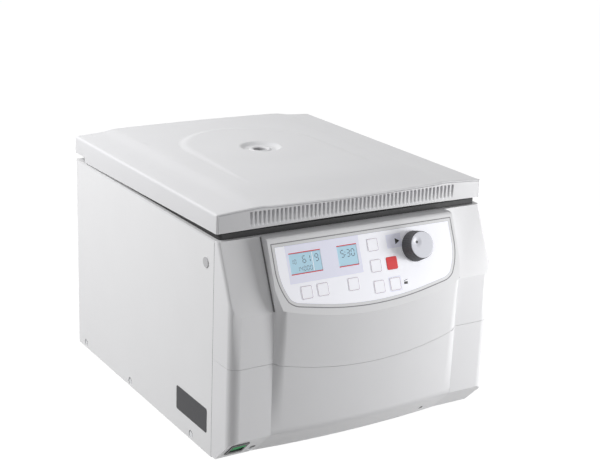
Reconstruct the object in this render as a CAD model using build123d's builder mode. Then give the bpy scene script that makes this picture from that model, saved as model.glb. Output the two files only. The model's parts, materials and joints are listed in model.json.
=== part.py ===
from build123d import *
import os
from math import atan, cos, degrees, radians, sin, sqrt, tan

# A benchtop cytocentrifuge. Millimetres, +Z up, front towards -Y, standing on z = 0.

# ------------------------------------------------------------------ cabinet sizes
cabinet_width = 395.0
foot_height = 8.0
foot_radius = 14.0
foot_spacing_x = 300.0
foot_front_y = -150.0
foot_back_y = 200.0
foot_taper = 2.0
sheet = 1.5                      # steel of the side, back and floor panels
pan_thickness = 2.0
pan_flange_height = 16.0
pan_tab_width = 20.0
pan_slot_columns = 7
pan_slot_rows = 4
pan_slot_pitch_x = 34.0
pan_slot_pitch_y = 12.0
pan_slot_length = 30.0
pan_slot_width = 4.0
pan_slot_y = -90.0
panel_front_y = -183.0
panel_back_y = 244.1
panel_top_z = 291.1
panel_fold = 12.0
deck_thickness = 2.65
seam_gap = 0.4
dimple_depth = 1.5
dimple_radius = 7.0
side_screw_y = (-127.2, 59.8, 217.2)
side_screw_z = 15.4
rear_screw_x = (-180.0, 0.0, 180.0)
rear_screw_z = 15.4
vent_columns = 14
vent_rows = 3
vent_pitch_x = 16.0
vent_pitch_z = 60.0
vent_height = 50.0
vent_width = 5.0
vent_z = 190.0
screw_shank_radius = 1.9
screw_head_radius = 3.4
screw_head_height = 1.3
screw_length = 8.0
screw_clearance = 0.2

# ------------------------------------------------------------------ front moulding sizes
front_y = -230.2                 # upright face of the two wings
wing_top_y = -191.7
wing_kink_z = 208.8
chamfer_top_z = 45.75
chamfer_run = 36.05
shell_bottom_z = foot_height + pan_thickness
shell_wall = 3.0
corner_cut_x = 9.0
corner_cut_y = 7.0
corner_overcut = 0.01
parting_z = 142.1
parting_dip = 18.0
bulge_half_width = 139.5
bulge_shoulder_half_width = 133.0
bulge_low_crown = 7.5
bulge_low_shoulder = 0.7
bulge_lip_z = 193.8
bulge_lip_crown = 17.9
bulge_lip_shoulder = 9.2
pod_lean = 22.53                 # degrees from upright
pod_base_z = 237.2               # where the pod's plane crosses the upright face
pod_top_fillet = 5.0
shell_flange = 12.0
shell_tongue = 4.0                # reaches back under the deck
front_screw_x = (-151.0, 107.0)
front_screw_y = -198.0
front_screw_seat_z = 16.0
front_boss_height = 6.0
front_boss_radius = 6.5

# ------------------------------------------------------------------ control pod sizes
overlay_thickness = 1.0
overlay_half_width = 133.0
overlay_top_v = 52.4
overlay_side_v = 24.0
overlay_side_half = 130.0        # the sides draw in towards the bottom
overlay_side_middle_v = 2.4
overlay_corner_half = 122.0
overlay_corner_v = -16.0
overlay_turn_half = 115.3
overlay_turn_v = -20.8
overlay_foot_half = 103.0
overlay_foot_v = -23.5
overlay_bottom_v = -35.5
overlay_clearance = 0.2
window_width = 45.2
small_window_width = 29.2
window_height = 24.7
window_v = 27.15
main_window_x = -90.95
side_window_x = -29.8
glass_clearance = 0.4
display_thickness = 5.0
display_length = 112.0
display_height = 34.0
display_x = -64.0
display_post_inset = 5.0
key_size = 16.0
key_corner = 2.0
key_gap = 0.3
key_thickness = 0.9
key_proud = 0.5
key_stem = 8.0
key_rest_gap = 0.7
key_places = {
    "recall_key": (-96.5, -9.2),
    "store_key": (-73.3, -9.0),
    "time_key": (-28.4, -9.1),
    "short_spin_key": (8.8, 35.2),
    "acceleration_key": (8.8, 8.5),
    "brake_key": (8.8, -18.1),
    "stop_key": (33.2, 8.6),
    "lid_open_key": (33.2, -18.0),
}
board_depth = 12.0               # front of the board under the pod's face
board_thickness = 1.6
board_width = 222.0
board_height = 74.0
board_x = -12.0
board_v = 9.0
board_post_radius = 3.0
board_post_places = ((-118.0, -20.0), (-118.0, 3.0), (20.0, 28.0), (92.0, 3.0), (54.0, -20.0), (-50.0, -24.0))
chip_places = ((-70.0, -10.0, 14.0), (-10.0, -10.0, 18.0), (60.0, 5.0, 12.0), (-80.0, 25.0, 22.0))
chip_height = 2.5
plug_x = 60.0                    # ribbon plug on the back of the board
plug_v = 30.0
plug_length = 30.0
plug_width = 8.0
plug_height = 7.5
tact_size = 6.0
tact_height = 5.0
knob_x = 71.7
knob_v = 25.0
knob_base_radius = 20.0
knob_face_radius = 17.6
knob_height = 17.0
knob_lift = 1.0
knob_grooves = 36
knob_groove_radius = 1.1
knob_groove_depth = 0.7
knob_edge_fillet = 1.5
knob_dimple_radius = 14.0
knob_dimple_depth = 1.4
knob_dimple_offset = 8.0
knob_travel = 0.6
knob_shaft_radius = 3.0
shaft_hole_clearance = 0.6
running_clearance = 0.05
encoder_width = 15.0
encoder_hub_radius = 5.0
encoder_top_depth = 4.6
encoder_wall = 1.3
encoder_hub_gap = 0.3

# ------------------------------------------------------------------ mains switch and inlet
switch_side_distance = 20.3       # from the cabinet's left side to the middle of the switch
switch_z = 29.0
switch_width = 25.0
switch_height = 31.0
switch_rim = 1.0
switch_body_inset = 1.5
switch_body_depth = 22.0
switch_hole_clearance = 0.3
blade_thickness = 1.0            # flat terminals of switch and inlet
blade_width = 6.0
blade_length = 8.0
rocker_width = 18.0
rocker_length = 17.0
rocker_tilt = 10.0               # degrees each way
rocker_pivot_depth = 4.0
rocker_pin_radius = 1.5
rocker_gap = 0.6
rocker_drop = 9.0
inlet_side_distance = 57.5
inlet_z = 62.0
inlet_flange_width = 50.0
inlet_flange_height = 28.0
inlet_flange_thickness = 2.5
inlet_body_width = 30.0
inlet_body_height = 22.0
inlet_body_depth = 26.0
inlet_socket_width = 24.0
inlet_socket_height = 16.5
inlet_socket_depth = 18.0
inlet_pin_length = 15.0
inlet_pin_width = 2.0
inlet_pin_height = 4.0
inlet_pin_places = ((-7.0, -2.0), (7.0, -2.0), (0.0, 2.0))
inlet_flange_corner = 5.0
inlet_socket_corner = 3.0
inlet_clearance = 0.3

# ------------------------------------------------------------------ chamber sizes
rotor_y = 54.0
bowl_radius = 150.0
bowl_wall = 1.2
bowl_floor_z = 146.0
bowl_floor_radius = 20.0
bowl_collar_radius = 22.0
bowl_collar_height = 14.0
bowl_flange_width = 9.0
deck_hole_clearance = 1.8
gasket_inner_radius = 151.5
gasket_outer_radius = 158.0
gasket_gap = 0.3
gasket_groove_radius = 1.0
guard_inner_radius = 156.0
guard_thickness = 4.0
guard_bottom_z = 150.0

# ------------------------------------------------------------------ drive sizes
motor_plate_size = 150.0
motor_plate_thickness = 4.0
mount_spacing = 120.0
mount_radius = 11.0
mount_height = 40.0
mount_waist = 2.5
motor_radius = 52.0
motor_height = 80.0
motor_fins = 18
motor_fin_height = 3.0
motor_fin_thickness = 3.0
motor_cavity_radius = 28.0
motor_end_thickness = 11.0
armature_gap = 1.0
armature_end_gap = 4.0
shaft_radius = 8.0
shaft_shoulder_radius = 11.0
shaft_end_gap = 4.0
shaft_lift = 0.3                 # running gap over the fixed end bells
shaft_step = 1.0
thread_radius = 5.0
thread_end_gap = 3.0
spindle_shoulder_z = 200.0
hub_radius = 22.0
hub_height = 24.0
nut_radius = 13.0
nut_height = 13.0
nut_grooves = 6
nut_groove_radius = 2.2
arm_width = 11.0
arm_height = 18.0
trunnion_radius = 68.0
trunnion_z = 215.0
trunnion_pin_radius = 3.0
arm_block_inner = 43.0
arm_block_outer = 76.0
arm_block_cut = 55.0
arm_block_hole = 7.0
trunnion_pin_gap = 0.4

# ------------------------------------------------------------------ cytology carrier sizes
carrier_count = 4
carrier_half_width = 42.4
carrier_cheek = 4.0
carrier_half_depth = 15.0
carrier_ear_radius = 10.0
carrier_drop = 58.0
carrier_floor = 3.0
carrier_shoulder_drop = 14.0
slide_length = 76.0
slide_width = 26.0
slide_thickness = 1.0
chamber_base_length = 76.0
chamber_base_thickness = 3.0
chamber_outer_radius = 12.0
chamber_bore_radius = 9.0
chamber_height = 42.0
clamp_rib_height = 3.0
clamp_rib_width = 2.0

# ------------------------------------------------------------------ lid sizes
lid_side_overhang = 1.0
lid_front_y = -189.6
lid_back_y = 248.1
lid_bottom_z = 302.9
lid_edge_z = 326.9
lid_edge_break = 2.0
lid_wall = 2.5
lid_skirt_low_z = 295.5           # the side rims deepen towards the hinges
lid_skirt_back_y = 211.0
lid_scoop_y = -90.0
lid_stations = (161.0, 136.0, 122.0, 60.0)
lid_front_heights = (329.3, 330.7, 329.4, 328.1, 327.3)
lid_back_heights = (329.0, 332.5, 332.9, 333.6, 333.9)
plateau_half_width = 100.0
plateau_back_y = 172.0
plateau_round = 100.0
plateau_front_z = 333.9
plateau_back_z = 336.4
sight_y = 54.0
sight_hole_radius = 10.0
sight_dish_radius = 30.0
sight_dish_floor_radius = 25.0
sight_dish_depth = 4.6
sight_boss_radius = 33.0
sight_boss_depth = 12.0
sight_glass_radius = 13.0
sight_glass_thickness = 4.0
sight_glass_clearance = 0.1
grille_top_z = 325.4
grille_side_gap = 4.8
grille_thickness = 5.0
grille_arch = 1.5
grille_slot_count = 51
grille_slot_pitch = 6.06
grille_slot_width = 3.0
grille_slot_bottom_z = 307.5
grille_slot_top_z = 323.8
inner_plate_thickness = 3.0
inner_plate_side_gap = 10.5
inner_plate_front_y = -180.0
inner_plate_back_y = 228.0
lid_boss_radius = 5.0
lid_boss_side_distance = 26.5
lid_boss_y = (-150.0, 30.0, 205.0)

# ------------------------------------------------------------------ hinge sizes
hinge_y = 241.0
hinge_z = 302.2
hinge_x = 120.0
hinge_pin_radius = 3.0
hinge_knuckle_radius = 6.0
hinge_arm_width = 10.0
hinge_ear_gap = 14.0
hinge_ear_thickness = 3.0
hinge_pin_head_radius = 4.5
hinge_pin_head = 1.8
hinge_base_thickness = 1.5
hinge_base_depth = 12.0
hinge_notch_half_width = 20.5
hinge_notch_top_z = 312.0
hinge_arm_front_y = 150.0
hinge_arm_height = 5.0
hinge_foot_width = 5.0
spring_wire_radius = 0.7
spring_gap = 0.3
spring_pitch = 1.9
spring_length = 6.6

# ------------------------------------------------------------------ lid lock sizes
lock_y = -162.6
release_z = 260.3
hook_x = 60.0
hook_thickness = 4.0
hook_width = 14.0
hook_bottom_z = 262.0
hook_window = 10.0
hook_window_z = 266.0
hook_flange = 18.0
hook_flange_thickness = 2.0
hook_slot_width = 12.0
hook_slot_length = 22.0
bolt_travel = 8.0
bolt_bar_width = 8.0
bolt_bar_height = 8.0
bolt_bar_z = 247.9
bolt_slide_gap = 0.3
bolt_nose_height = 8.0
bolt_nose_z = 267.0
bolt_nose_rest_gap = 0.5
bolt_nose_overlap = 3.5           # nose past the hook when the bolt is out
bolt_riser_length = 6.0
bolt_yoke_x = -122.0
bolt_yoke_thickness = 4.0
bolt_yoke_slot = 4.0
bolt_yoke_top_z = 268.0
bolt_rod_radius = 3.5
bolt_rod_end_x = 100.0
channel_left_x = -131.0
channel_right_x = 82.0
channel_half_width = 16.0
channel_wall = 2.0
channel_guide_height = 4.0
channel_guide_width = 1.2
channel_guide_length = 15.0
channel_guide_x = (-115.0, -30.0, 25.0)
solenoid_length = 40.0
solenoid_height = 24.0
solenoid_bore_depth = 34.0
release_travel = 16.0
release_head_radius = 6.6
release_head = 0.9
release_head_gap = 0.1
release_barrel_radius = 5.5
release_barrel_length = 21.0
release_wire_radius = 1.0
release_collar_radius = 4.0
release_collar_length = 3.0
collar_end_gap = 0.5              # collar short of the yoke with the pull fully out
release_wire_clearance = 0.3

# ------------------------------------------------------------------ power board sizes
power_board_side_distance = 78.0  # from the right side panel to the middle of the board
power_board_y = 175.0
power_board_width = 110.0
power_board_depth = 90.0
power_board_lift = 8.0
power_post_inset = 6.0
power_post_radius = 3.5
power_can_x = (-40.0, -15.0, 5.0)
power_can_y = 28.0
power_can_height = 30.0
power_can_radius = 9.0
power_components = (             # centre x, centre y, length, width, height on the board
    (-30.0, -15.0, 36.0, 34.0, 32.0),
    (30.0, -25.0, 30.0, 18.0, 26.0),
    (28.0, 15.0, 18.0, 26.0, 20.0),
)

# ------------------------------------------------------------------ worked-out places
cabinet_half = cabinet_width / 2
inside_half = cabinet_half - sheet
inlet_x = inlet_side_distance - cabinet_half
lid_half_width = cabinet_half + lid_side_overhang
lid_boss_x = lid_half_width - lid_boss_side_distance
grille_half_width = lid_half_width - grille_side_gap
inner_plate_half_width = lid_half_width - inner_plate_side_gap
power_board_x = inside_half - power_board_side_distance
flange_face = cabinet_half - sheet - dimple_depth
deck_top_z = panel_top_z + deck_thickness
pan_top_z = foot_height + pan_thickness
shell_back_y = panel_front_y - seam_gap
motor_plate_z = pan_top_z + mount_height
motor_base_z = motor_plate_z + motor_plate_thickness
motor_top_z = motor_base_z + motor_height
gasket_top_z = lid_bottom_z - inner_plate_thickness
inner_plate_bottom_z = gasket_top_z + gasket_gap
inner_plate_top_z = inner_plate_bottom_z + inner_plate_thickness
deck_hole_radius = bowl_radius + bowl_wall + deck_hole_clearance
chamfer_rise = chamfer_top_z - shell_bottom_z
chamfer_length = sqrt(chamfer_run ** 2 + chamfer_rise ** 2)

pod = Plane(
    origin=(0, front_y, pod_base_z),
    x_dir=(1, 0, 0),
    z_dir=(0, -cos(radians(pod_lean)), sin(radians(pod_lean))),
)
switch_y = front_y + (chamfer_top_z - switch_z) * chamfer_run / chamfer_rise
switch_face = Plane(
    origin=(-cabinet_half + switch_side_distance, switch_y, switch_z),
    x_dir=(1, 0, 0),
    z_dir=(0, -chamfer_rise / chamfer_length, -chamfer_run / chamfer_length),
)

os.makedirs("parts", exist_ok=True)


# ------------------------------------------------------------------ small helpers
def block(x0, x1, y0, y1, z0, z1, mode=Mode.ADD):
    """Add or cut a box given by its faces in the current part."""
    with Locations(((x0 + x1) / 2, (y0 + y1) / 2, (z0 + z1) / 2)):
        Box(x1 - x0, y1 - y0, z1 - z0, mode=mode)


def disc(x, y, z0, z1, radius, mode=Mode.ADD):
    """Add or cut an upright cylinder in the current part."""
    with Locations((x, y, (z0 + z1) / 2)):
        Cylinder(radius, z1 - z0, mode=mode)


def rod(x0, x1, y, z, radius, mode=Mode.ADD):
    """Add or cut a cylinder along X in the current part."""
    with Locations(Location(((x0 + x1) / 2, y, z), (0, 90, 0))):
        Cylinder(radius, x1 - x0, mode=mode)


def pad(plane, u, v, width, height, top, bottom, corner=0.0, mode=Mode.ADD):
    """Add or cut a rectangular pad between two depths under a plane."""
    with BuildSketch(plane.offset(-bottom)) as outline:
        with Locations((u, v)):
            if corner > 0:
                RectangleRounded(width, height, corner)
            else:
                Rectangle(width, height)
    extrude(outline.sketch, amount=bottom - top, mode=mode)


def stub(plane, u, v, radius, top, bottom, mode=Mode.ADD):
    """Add or cut a round stub between two depths under a plane."""
    with BuildSketch(plane.offset(-bottom)) as outline:
        with Locations((u, v)):
            Circle(radius)
    extrude(outline.sketch, amount=bottom - top, mode=mode)


def mirrored(point):
    """The same place on the other side of the middle."""
    return (-point[0], point[1])


def overlay_outline(grow):
    """Outline of the control foil in the pod's own plane, grown by a clearance."""
    corner = (overlay_corner_half, overlay_corner_v)
    foot = (overlay_foot_half, overlay_foot_v)
    side_top = (overlay_half_width, overlay_side_v)
    side_middle = (overlay_side_half, overlay_side_middle_v)
    turn = (overlay_turn_half, overlay_turn_v)
    with BuildSketch() as outline:
        with BuildLine():
            Line((-overlay_half_width, overlay_top_v), (overlay_half_width, overlay_top_v))
            ThreePointArc(foot, (0, overlay_bottom_v), mirrored(foot))
            Line((overlay_half_width, overlay_top_v), side_top)
            ThreePointArc(side_top, side_middle, corner)
            ThreePointArc(corner, turn, foot)
            ThreePointArc(mirrored(foot), mirrored(turn), mirrored(corner))
            ThreePointArc(mirrored(corner), mirrored(side_middle), mirrored(side_top))
            Line(mirrored(side_top), (-overlay_half_width, overlay_top_v))
        make_face()
        if grow > 0:
            offset(amount=grow)
    return outline.sketch


# ------------------------------------------------------------------ front moulding
def bulge_section(z, inset, back_shift, plane_shift):
    """Plan outline of the bulged middle of the front at one height."""
    climb = (z - chamfer_top_z) / (bulge_lip_z - chamfer_top_z)
    crown = bulge_low_crown + climb * (bulge_lip_crown - bulge_low_crown)
    shoulder = bulge_low_shoulder + climb * (bulge_lip_shoulder - bulge_low_shoulder)
    half = bulge_half_width - inset
    shoulder_half = bulge_shoulder_half_width - inset
    face = front_y + inset + plane_shift
    back = shell_back_y + back_shift
    with BuildSketch() as section:
        with BuildLine():
            Polyline((-half, back), (-half, face), (-shoulder_half, face - shoulder))
            ThreePointArc(
                (-shoulder_half, face - shoulder), (0, face - crown), (shoulder_half, face - shoulder)
            )
            Polyline((shoulder_half, face - shoulder), (half, face), (half, back), (-half, back))
        make_face()
    return section.sketch


def front_mass(inset):
    """The whole front moulding as one solid mass, drawn inwards by inset."""
    back = shell_back_y + 2 * inset
    chamfer_foot_y = front_y + chamfer_run
    normal_y = chamfer_rise / chamfer_length
    normal_z = chamfer_run / chamfer_length
    low_z = chamfer_top_z + inset * (1 - normal_y) / normal_z
    bottom_z = shell_bottom_z + inset
    low_shift = (low_z - bottom_z) * chamfer_run / chamfer_rise
    low_section = bulge_section(chamfer_top_z, inset, inset, 0)
    foot_section = bulge_section(chamfer_top_z, inset, inset, low_shift)
    top_section = bulge_section(deck_top_z, inset, inset, 0)
    with BuildPart() as mass:
        with BuildSketch(Plane.YZ):
            with BuildLine():
                Polyline(
                    (back, deck_top_z),
                    (wing_top_y, deck_top_z),
                    (front_y, wing_kink_z),
                    (front_y, chamfer_top_z),
                    (chamfer_foot_y, shell_bottom_z),
                    (back, shell_bottom_z),
                    close=True,
                )
            make_face()
            if inset > 0:
                offset(amount=-inset, kind=Kind.INTERSECTION)
        extrude(amount=cabinet_half - inset, both=True)
        for side in (-1, 1):
            with BuildSketch(Plane.XY):
                with BuildLine():
                    Polyline(
                        (side * (cabinet_half - corner_cut_x), front_y),
                        (side * cabinet_half, front_y + corner_cut_y),
                        (side * cabinet_half, front_y),
                        close=True,
                    )
                make_face()
                offset(amount=inset + corner_overcut, kind=Kind.INTERSECTION)
            extrude(amount=deck_top_z, mode=Mode.SUBTRACT)
        with BuildSketch(Plane.XY.offset(low_z)):
            add(low_section)
        with BuildSketch(Plane.XY.offset(deck_top_z - inset)):
            add(top_section)
        loft(ruled=True)
        with BuildSketch(Plane.XY.offset(bottom_z)):
            add(foot_section)
        with BuildSketch(Plane.XY.offset(low_z)):
            add(low_section)
        loft(ruled=True)
        split(bisect_by=pod.offset(-inset), keep=Keep.BOTTOM)
    return mass.part


def seam_side(upper):
    """The space above, or below, the dipping seam between the two mouldings."""
    level = parting_z if upper else parting_z - seam_gap
    end_z = deck_top_z + shell_wall if upper else shell_bottom_z - shell_wall
    reach = cabinet_half + shell_wall
    with BuildPart() as side:
        with BuildSketch(Plane.XZ):
            with BuildLine():
                Polyline((bulge_half_width, level), (reach, level), (reach, end_z))
                Line((reach, end_z), (-reach, end_z))
                Polyline((-reach, end_z), (-reach, level), (-bulge_half_width, level))
                ThreePointArc(
                    (-bulge_half_width, level), (0, level - parting_dip), (bulge_half_width, level)
                )
            make_face()
        extrude(amount=2 * cabinet_width, both=True)
    return side.part


outer_mass = front_mass(0)
inner_mass = front_mass(shell_wall)
upper_side = seam_side(True)
lower_side = seam_side(False)

with BuildPart() as upper_front_shell:
    add(outer_mass)
    pod_edges = edges().filter_by_position(Axis.Z, wing_kink_z, deck_top_z + 1)
    top_edge = pod_edges.filter_by(Axis.X).filter_by(lambda e: e.length > bulge_half_width * 1.9)
    fillet(top_edge.sort_by(Axis.Y)[0], radius=pod_top_fillet)
    add(inner_mass, mode=Mode.SUBTRACT)
    add(upper_side, mode=Mode.INTERSECT)
    with BuildSketch(pod):
        add(overlay_outline(overlay_clearance))
    extrude(amount=-overlay_thickness, mode=Mode.SUBTRACT)
    for window_x, width in ((main_window_x, window_width), (side_window_x, small_window_width)):
        pad(pod, window_x, window_v, width, window_height, 0, 2 * shell_wall, mode=Mode.SUBTRACT)
    for key_x, key_v in key_places.values():
        hole = key_stem + 2 * shaft_hole_clearance
        pad(pod, key_x, key_v, hole, hole, 0, 2 * shell_wall, mode=Mode.SUBTRACT)
    knob_hole = knob_shaft_radius + shaft_hole_clearance
    stub(pod, knob_x, knob_v, knob_hole, 0, 2 * shell_wall, mode=Mode.SUBTRACT)
    for post_x, post_v in board_post_places:
        stub(pod, post_x, post_v, board_post_radius, shell_wall / 2, board_depth)
    tongue_half = bulge_half_width
    tongue_back = panel_front_y + shell_tongue
    tongue_low = panel_top_z - shell_wall
    block(-tongue_half, tongue_half, wing_top_y, tongue_back, tongue_low, panel_top_z)
upper_front_shell.part.label = "upper_front_shell"
export_step(upper_front_shell.part, "parts/upper_front_shell.step")

with BuildPart() as lower_front_shell:
    add(outer_mass)
    add(inner_mass, mode=Mode.SUBTRACT)
    add(lower_side, mode=Mode.INTERSECT)
    flange_back = panel_front_y + shell_flange
    flange_top = shell_bottom_z + shell_wall
    block(-flange_face, flange_face, shell_back_y, flange_back, shell_bottom_z, flange_top)
    for boss_x in front_screw_x:
        boss_top = front_screw_seat_z + front_boss_height
        disc(boss_x, front_screw_y, shell_bottom_z, boss_top, front_boss_radius)
        boss_foot_y = front_y + chamfer_run
        with BuildSketch(Plane.YZ.offset(boss_x)):
            with BuildLine():
                Polyline(
                    (front_y, chamfer_top_z),
                    (boss_foot_y, shell_bottom_z),
                    (front_y, shell_bottom_z),
                    close=True,
                )
            make_face()
        extrude(amount=front_boss_radius, both=True, mode=Mode.SUBTRACT)
        recess = screw_head_radius + screw_clearance
        disc(boss_x, front_screw_y, 0, front_screw_seat_z, recess, mode=Mode.SUBTRACT)
        shank_hole = screw_shank_radius + screw_clearance
        disc(boss_x, front_screw_y, 0, boss_top, shank_hole, mode=Mode.SUBTRACT)
    cut_width = switch_width - 2 * switch_body_inset + 2 * switch_hole_clearance
    cut_height = switch_height - 2 * switch_body_inset + 2 * switch_hole_clearance
    pad(switch_face, 0, 0, cut_width, cut_height, -shell_wall, 2 * shell_wall, mode=Mode.SUBTRACT)
lower_front_shell.part.label = "lower_front_shell"
export_step(lower_front_shell.part, "parts/lower_front_shell.step")

# ------------------------------------------------------------------ floor pan and feet
with BuildPart() as base_pan:
    block(-flange_face, flange_face, panel_front_y, panel_back_y - sheet, foot_height, pan_top_z)
    for side in (-1, 1):
        inner = side * (flange_face - sheet)
        outer = side * flange_face
        low, high = sorted((inner, outer))
        flange_front = panel_front_y + shell_flange
        block(low, high, flange_front, panel_back_y - sheet, pan_top_z, pan_top_z + pan_flange_height)
    tab_low = front_screw_seat_z + front_boss_height
    tab_back = panel_front_y + shell_flange + 2 * sheet
    for tab_x in front_screw_x:
        low, high = tab_x - pan_tab_width / 2, tab_x + pan_tab_width / 2
        block(low, high, front_screw_y - screw_head_radius, tab_back, tab_low, tab_low + sheet)
        block(low, high, tab_back - sheet, tab_back, pan_top_z, tab_low)
        disc(tab_x, front_screw_y, tab_low, tab_low + sheet, shank_hole, mode=Mode.SUBTRACT)
    with BuildSketch(Plane.XY.offset(foot_height)):
        with Locations((0, pan_slot_y)):
            with GridLocations(pan_slot_pitch_x, pan_slot_pitch_y, pan_slot_columns, pan_slot_rows):
                SlotOverall(pan_slot_length, pan_slot_width)
    extrude(amount=pan_thickness, mode=Mode.SUBTRACT)
    for side in (-1, 1):
        for screw_y in side_screw_y:
            low, high = side * inside_half - screw_length, side * inside_half + screw_length
            rod(low, high, screw_y, side_screw_z, shank_hole, Mode.SUBTRACT)
base_pan.part.label = "base_pan"
export_step(base_pan.part, "parts/base_pan.step")

with BuildPart() as feet:
    for foot_y in (foot_front_y, foot_back_y):
        for side in (-1, 1):
            with Locations((side * foot_spacing_x / 2, foot_y, foot_height / 2)):
                Cone(foot_radius - foot_taper, foot_radius, foot_height)
feet.part.label = "feet"
export_step(feet.part, "parts/feet.step")

# ------------------------------------------------------------------ side panels
for side, panel_name in ((-1, "left_side_panel"), (1, "right_side_panel")):
    with BuildPart() as side_panel:
        low, high = sorted((side * inside_half, side * cabinet_half))
        block(low, high, panel_front_y, panel_back_y, foot_height, panel_top_z)
        low, high = sorted((side * inside_half, side * (inside_half - panel_fold)))
        block(low, high, panel_front_y, panel_back_y - sheet, panel_top_z - sheet, panel_top_z)
        for screw_y in side_screw_y:
            low, high = sorted((side * flange_face, side * inside_half))
            rod(low, high, screw_y, side_screw_z, dimple_radius)
            low, high = sorted((side * (cabinet_half - dimple_depth), side * cabinet_half))
            rod(low, high, screw_y, side_screw_z, dimple_radius - sheet, Mode.SUBTRACT)
            low, high = sorted((0, side * cabinet_half))
            rod(low, high, screw_y, side_screw_z, shank_hole, Mode.SUBTRACT)
        if side < 0:
            release_hole = release_barrel_radius + running_clearance
            rod(-cabinet_half, -inside_half, lock_y, release_z, release_hole, Mode.SUBTRACT)
    side_panel.part.label = panel_name
    export_step(side_panel.part, f"parts/{panel_name}.step")

# ------------------------------------------------------------------ rear panel
with BuildPart() as rear_panel:
    block(-inside_half, inside_half, panel_back_y - sheet, panel_back_y, foot_height, panel_top_z)
    with BuildSketch(Plane.XZ.offset(-panel_back_y)):
        with Locations((0, vent_z)):
            with GridLocations(vent_pitch_x, vent_pitch_z, vent_columns, vent_rows):
                SlotOverall(vent_height, vent_width, rotation=90)
        with Locations((inlet_x, inlet_z)):
            Rectangle(inlet_body_width + 2 * inlet_clearance, inlet_body_height + 2 * inlet_clearance)
        for screw_x in rear_screw_x:
            with Locations((screw_x, rear_screw_z)):
                Circle(shank_hole)
    extrude(amount=sheet, mode=Mode.SUBTRACT)
rear_panel.part.label = "rear_panel"
export_step(rear_panel.part, "parts/rear_panel.step")

# ------------------------------------------------------------------ screws
with BuildPart() as case_screws:
    for side in (-1, 1):
        seat = side * (cabinet_half - dimple_depth)
        for screw_y in side_screw_y:
            low, high = sorted((seat, seat + side * screw_head_height))
            rod(low, high, screw_y, side_screw_z, screw_head_radius)
            low, high = sorted((seat, seat - side * screw_length))
            rod(low, high, screw_y, side_screw_z, screw_shank_radius)
    for screw_x in front_screw_x:
        seat = front_screw_seat_z
        disc(screw_x, front_screw_y, seat - screw_head_height, seat, screw_head_radius)
        disc(screw_x, front_screw_y, seat, seat + screw_length, screw_shank_radius)
    for screw_x in rear_screw_x:
        with Locations(Location((screw_x, panel_back_y + screw_head_height / 2, rear_screw_z), (90, 0, 0))):
            Cylinder(screw_head_radius, screw_head_height)
        with Locations(Location((screw_x, panel_back_y - screw_length / 2, rear_screw_z), (90, 0, 0))):
            Cylinder(screw_shank_radius, screw_length)
case_screws.part.label = "case_screws"
export_step(case_screws.part, "parts/case_screws.step")

# ------------------------------------------------------------------ deck
with BuildPart() as top_deck:
    block(-cabinet_half, cabinet_half, panel_front_y, panel_back_y, panel_top_z, deck_top_z)
    disc(0, rotor_y, panel_top_z, deck_top_z, deck_hole_radius, mode=Mode.SUBTRACT)
    for side in (-1, 1):
        slot_low = side * hook_x - hook_slot_width / 2
        slot_high = side * hook_x + hook_slot_width / 2
        slot_front = lock_y - hook_slot_length / 2
        slot_back = lock_y + hook_slot_length / 2
        block(slot_low, slot_high, slot_front, slot_back, panel_top_z, deck_top_z, Mode.SUBTRACT)
top_deck.part.label = "top_deck"
export_step(top_deck.part, "parts/top_deck.step")

# ------------------------------------------------------------------ control foil, display and board
with BuildPart() as control_overlay:
    with BuildSketch(pod):
        add(overlay_outline(0))
    extrude(amount=-overlay_thickness)
    for window_x, width in ((main_window_x, window_width), (side_window_x, small_window_width)):
        pad(pod, window_x, window_v, width, window_height, 0, overlay_thickness, mode=Mode.SUBTRACT)
    for key_x, key_v in key_places.values():
        opening = key_size + 2 * key_gap
        pad(pod, key_x, key_v, opening, opening, 0, overlay_thickness, key_corner + key_gap, Mode.SUBTRACT)
    stub(pod, knob_x, knob_v, knob_hole, 0, overlay_thickness, mode=Mode.SUBTRACT)
control_overlay.part.label = "control_overlay"
export_step(control_overlay.part, "parts/control_overlay.step")

with BuildPart() as display_module:
    display_back = shell_wall + display_thickness
    pad(pod, display_x, window_v, display_length, display_height, shell_wall, display_back)
    for window_x, width in ((main_window_x, window_width), (side_window_x, small_window_width)):
        glass_width = width - 2 * glass_clearance
        glass_height = window_height - 2 * glass_clearance
        pad(pod, window_x, window_v, glass_width, glass_height, glass_clearance, shell_wall)
    post_reach_x = display_length / 2 - display_post_inset
    post_reach_v = display_height / 2 - display_post_inset
    for post_x in (display_x - post_reach_x, display_x + post_reach_x):
        for post_v in (window_v - post_reach_v, window_v + post_reach_v):
            stub(pod, post_x, post_v, board_post_radius, display_back, board_depth)
display_module.part.label = "display_module"
export_step(display_module.part, "parts/display_module.step")

with BuildPart() as control_board:
    board_back = board_depth + board_thickness
    pad(pod, board_x, board_v, board_width, board_height, board_depth, board_back)
    for key_x, key_v in key_places.values():
        pad(pod, key_x, key_v, tact_size, tact_size, board_depth - tact_height, board_depth)
    for chip_x, chip_v, chip_size in chip_places:
        pad(pod, chip_x, chip_v, chip_size, chip_size, board_back, board_back + chip_height)
    pad(pod, plug_x, plug_v, plug_length, plug_width, board_back, board_back + plug_height)
control_board.part.label = "control_board"
export_step(control_board.part, "parts/control_board.step")

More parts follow.
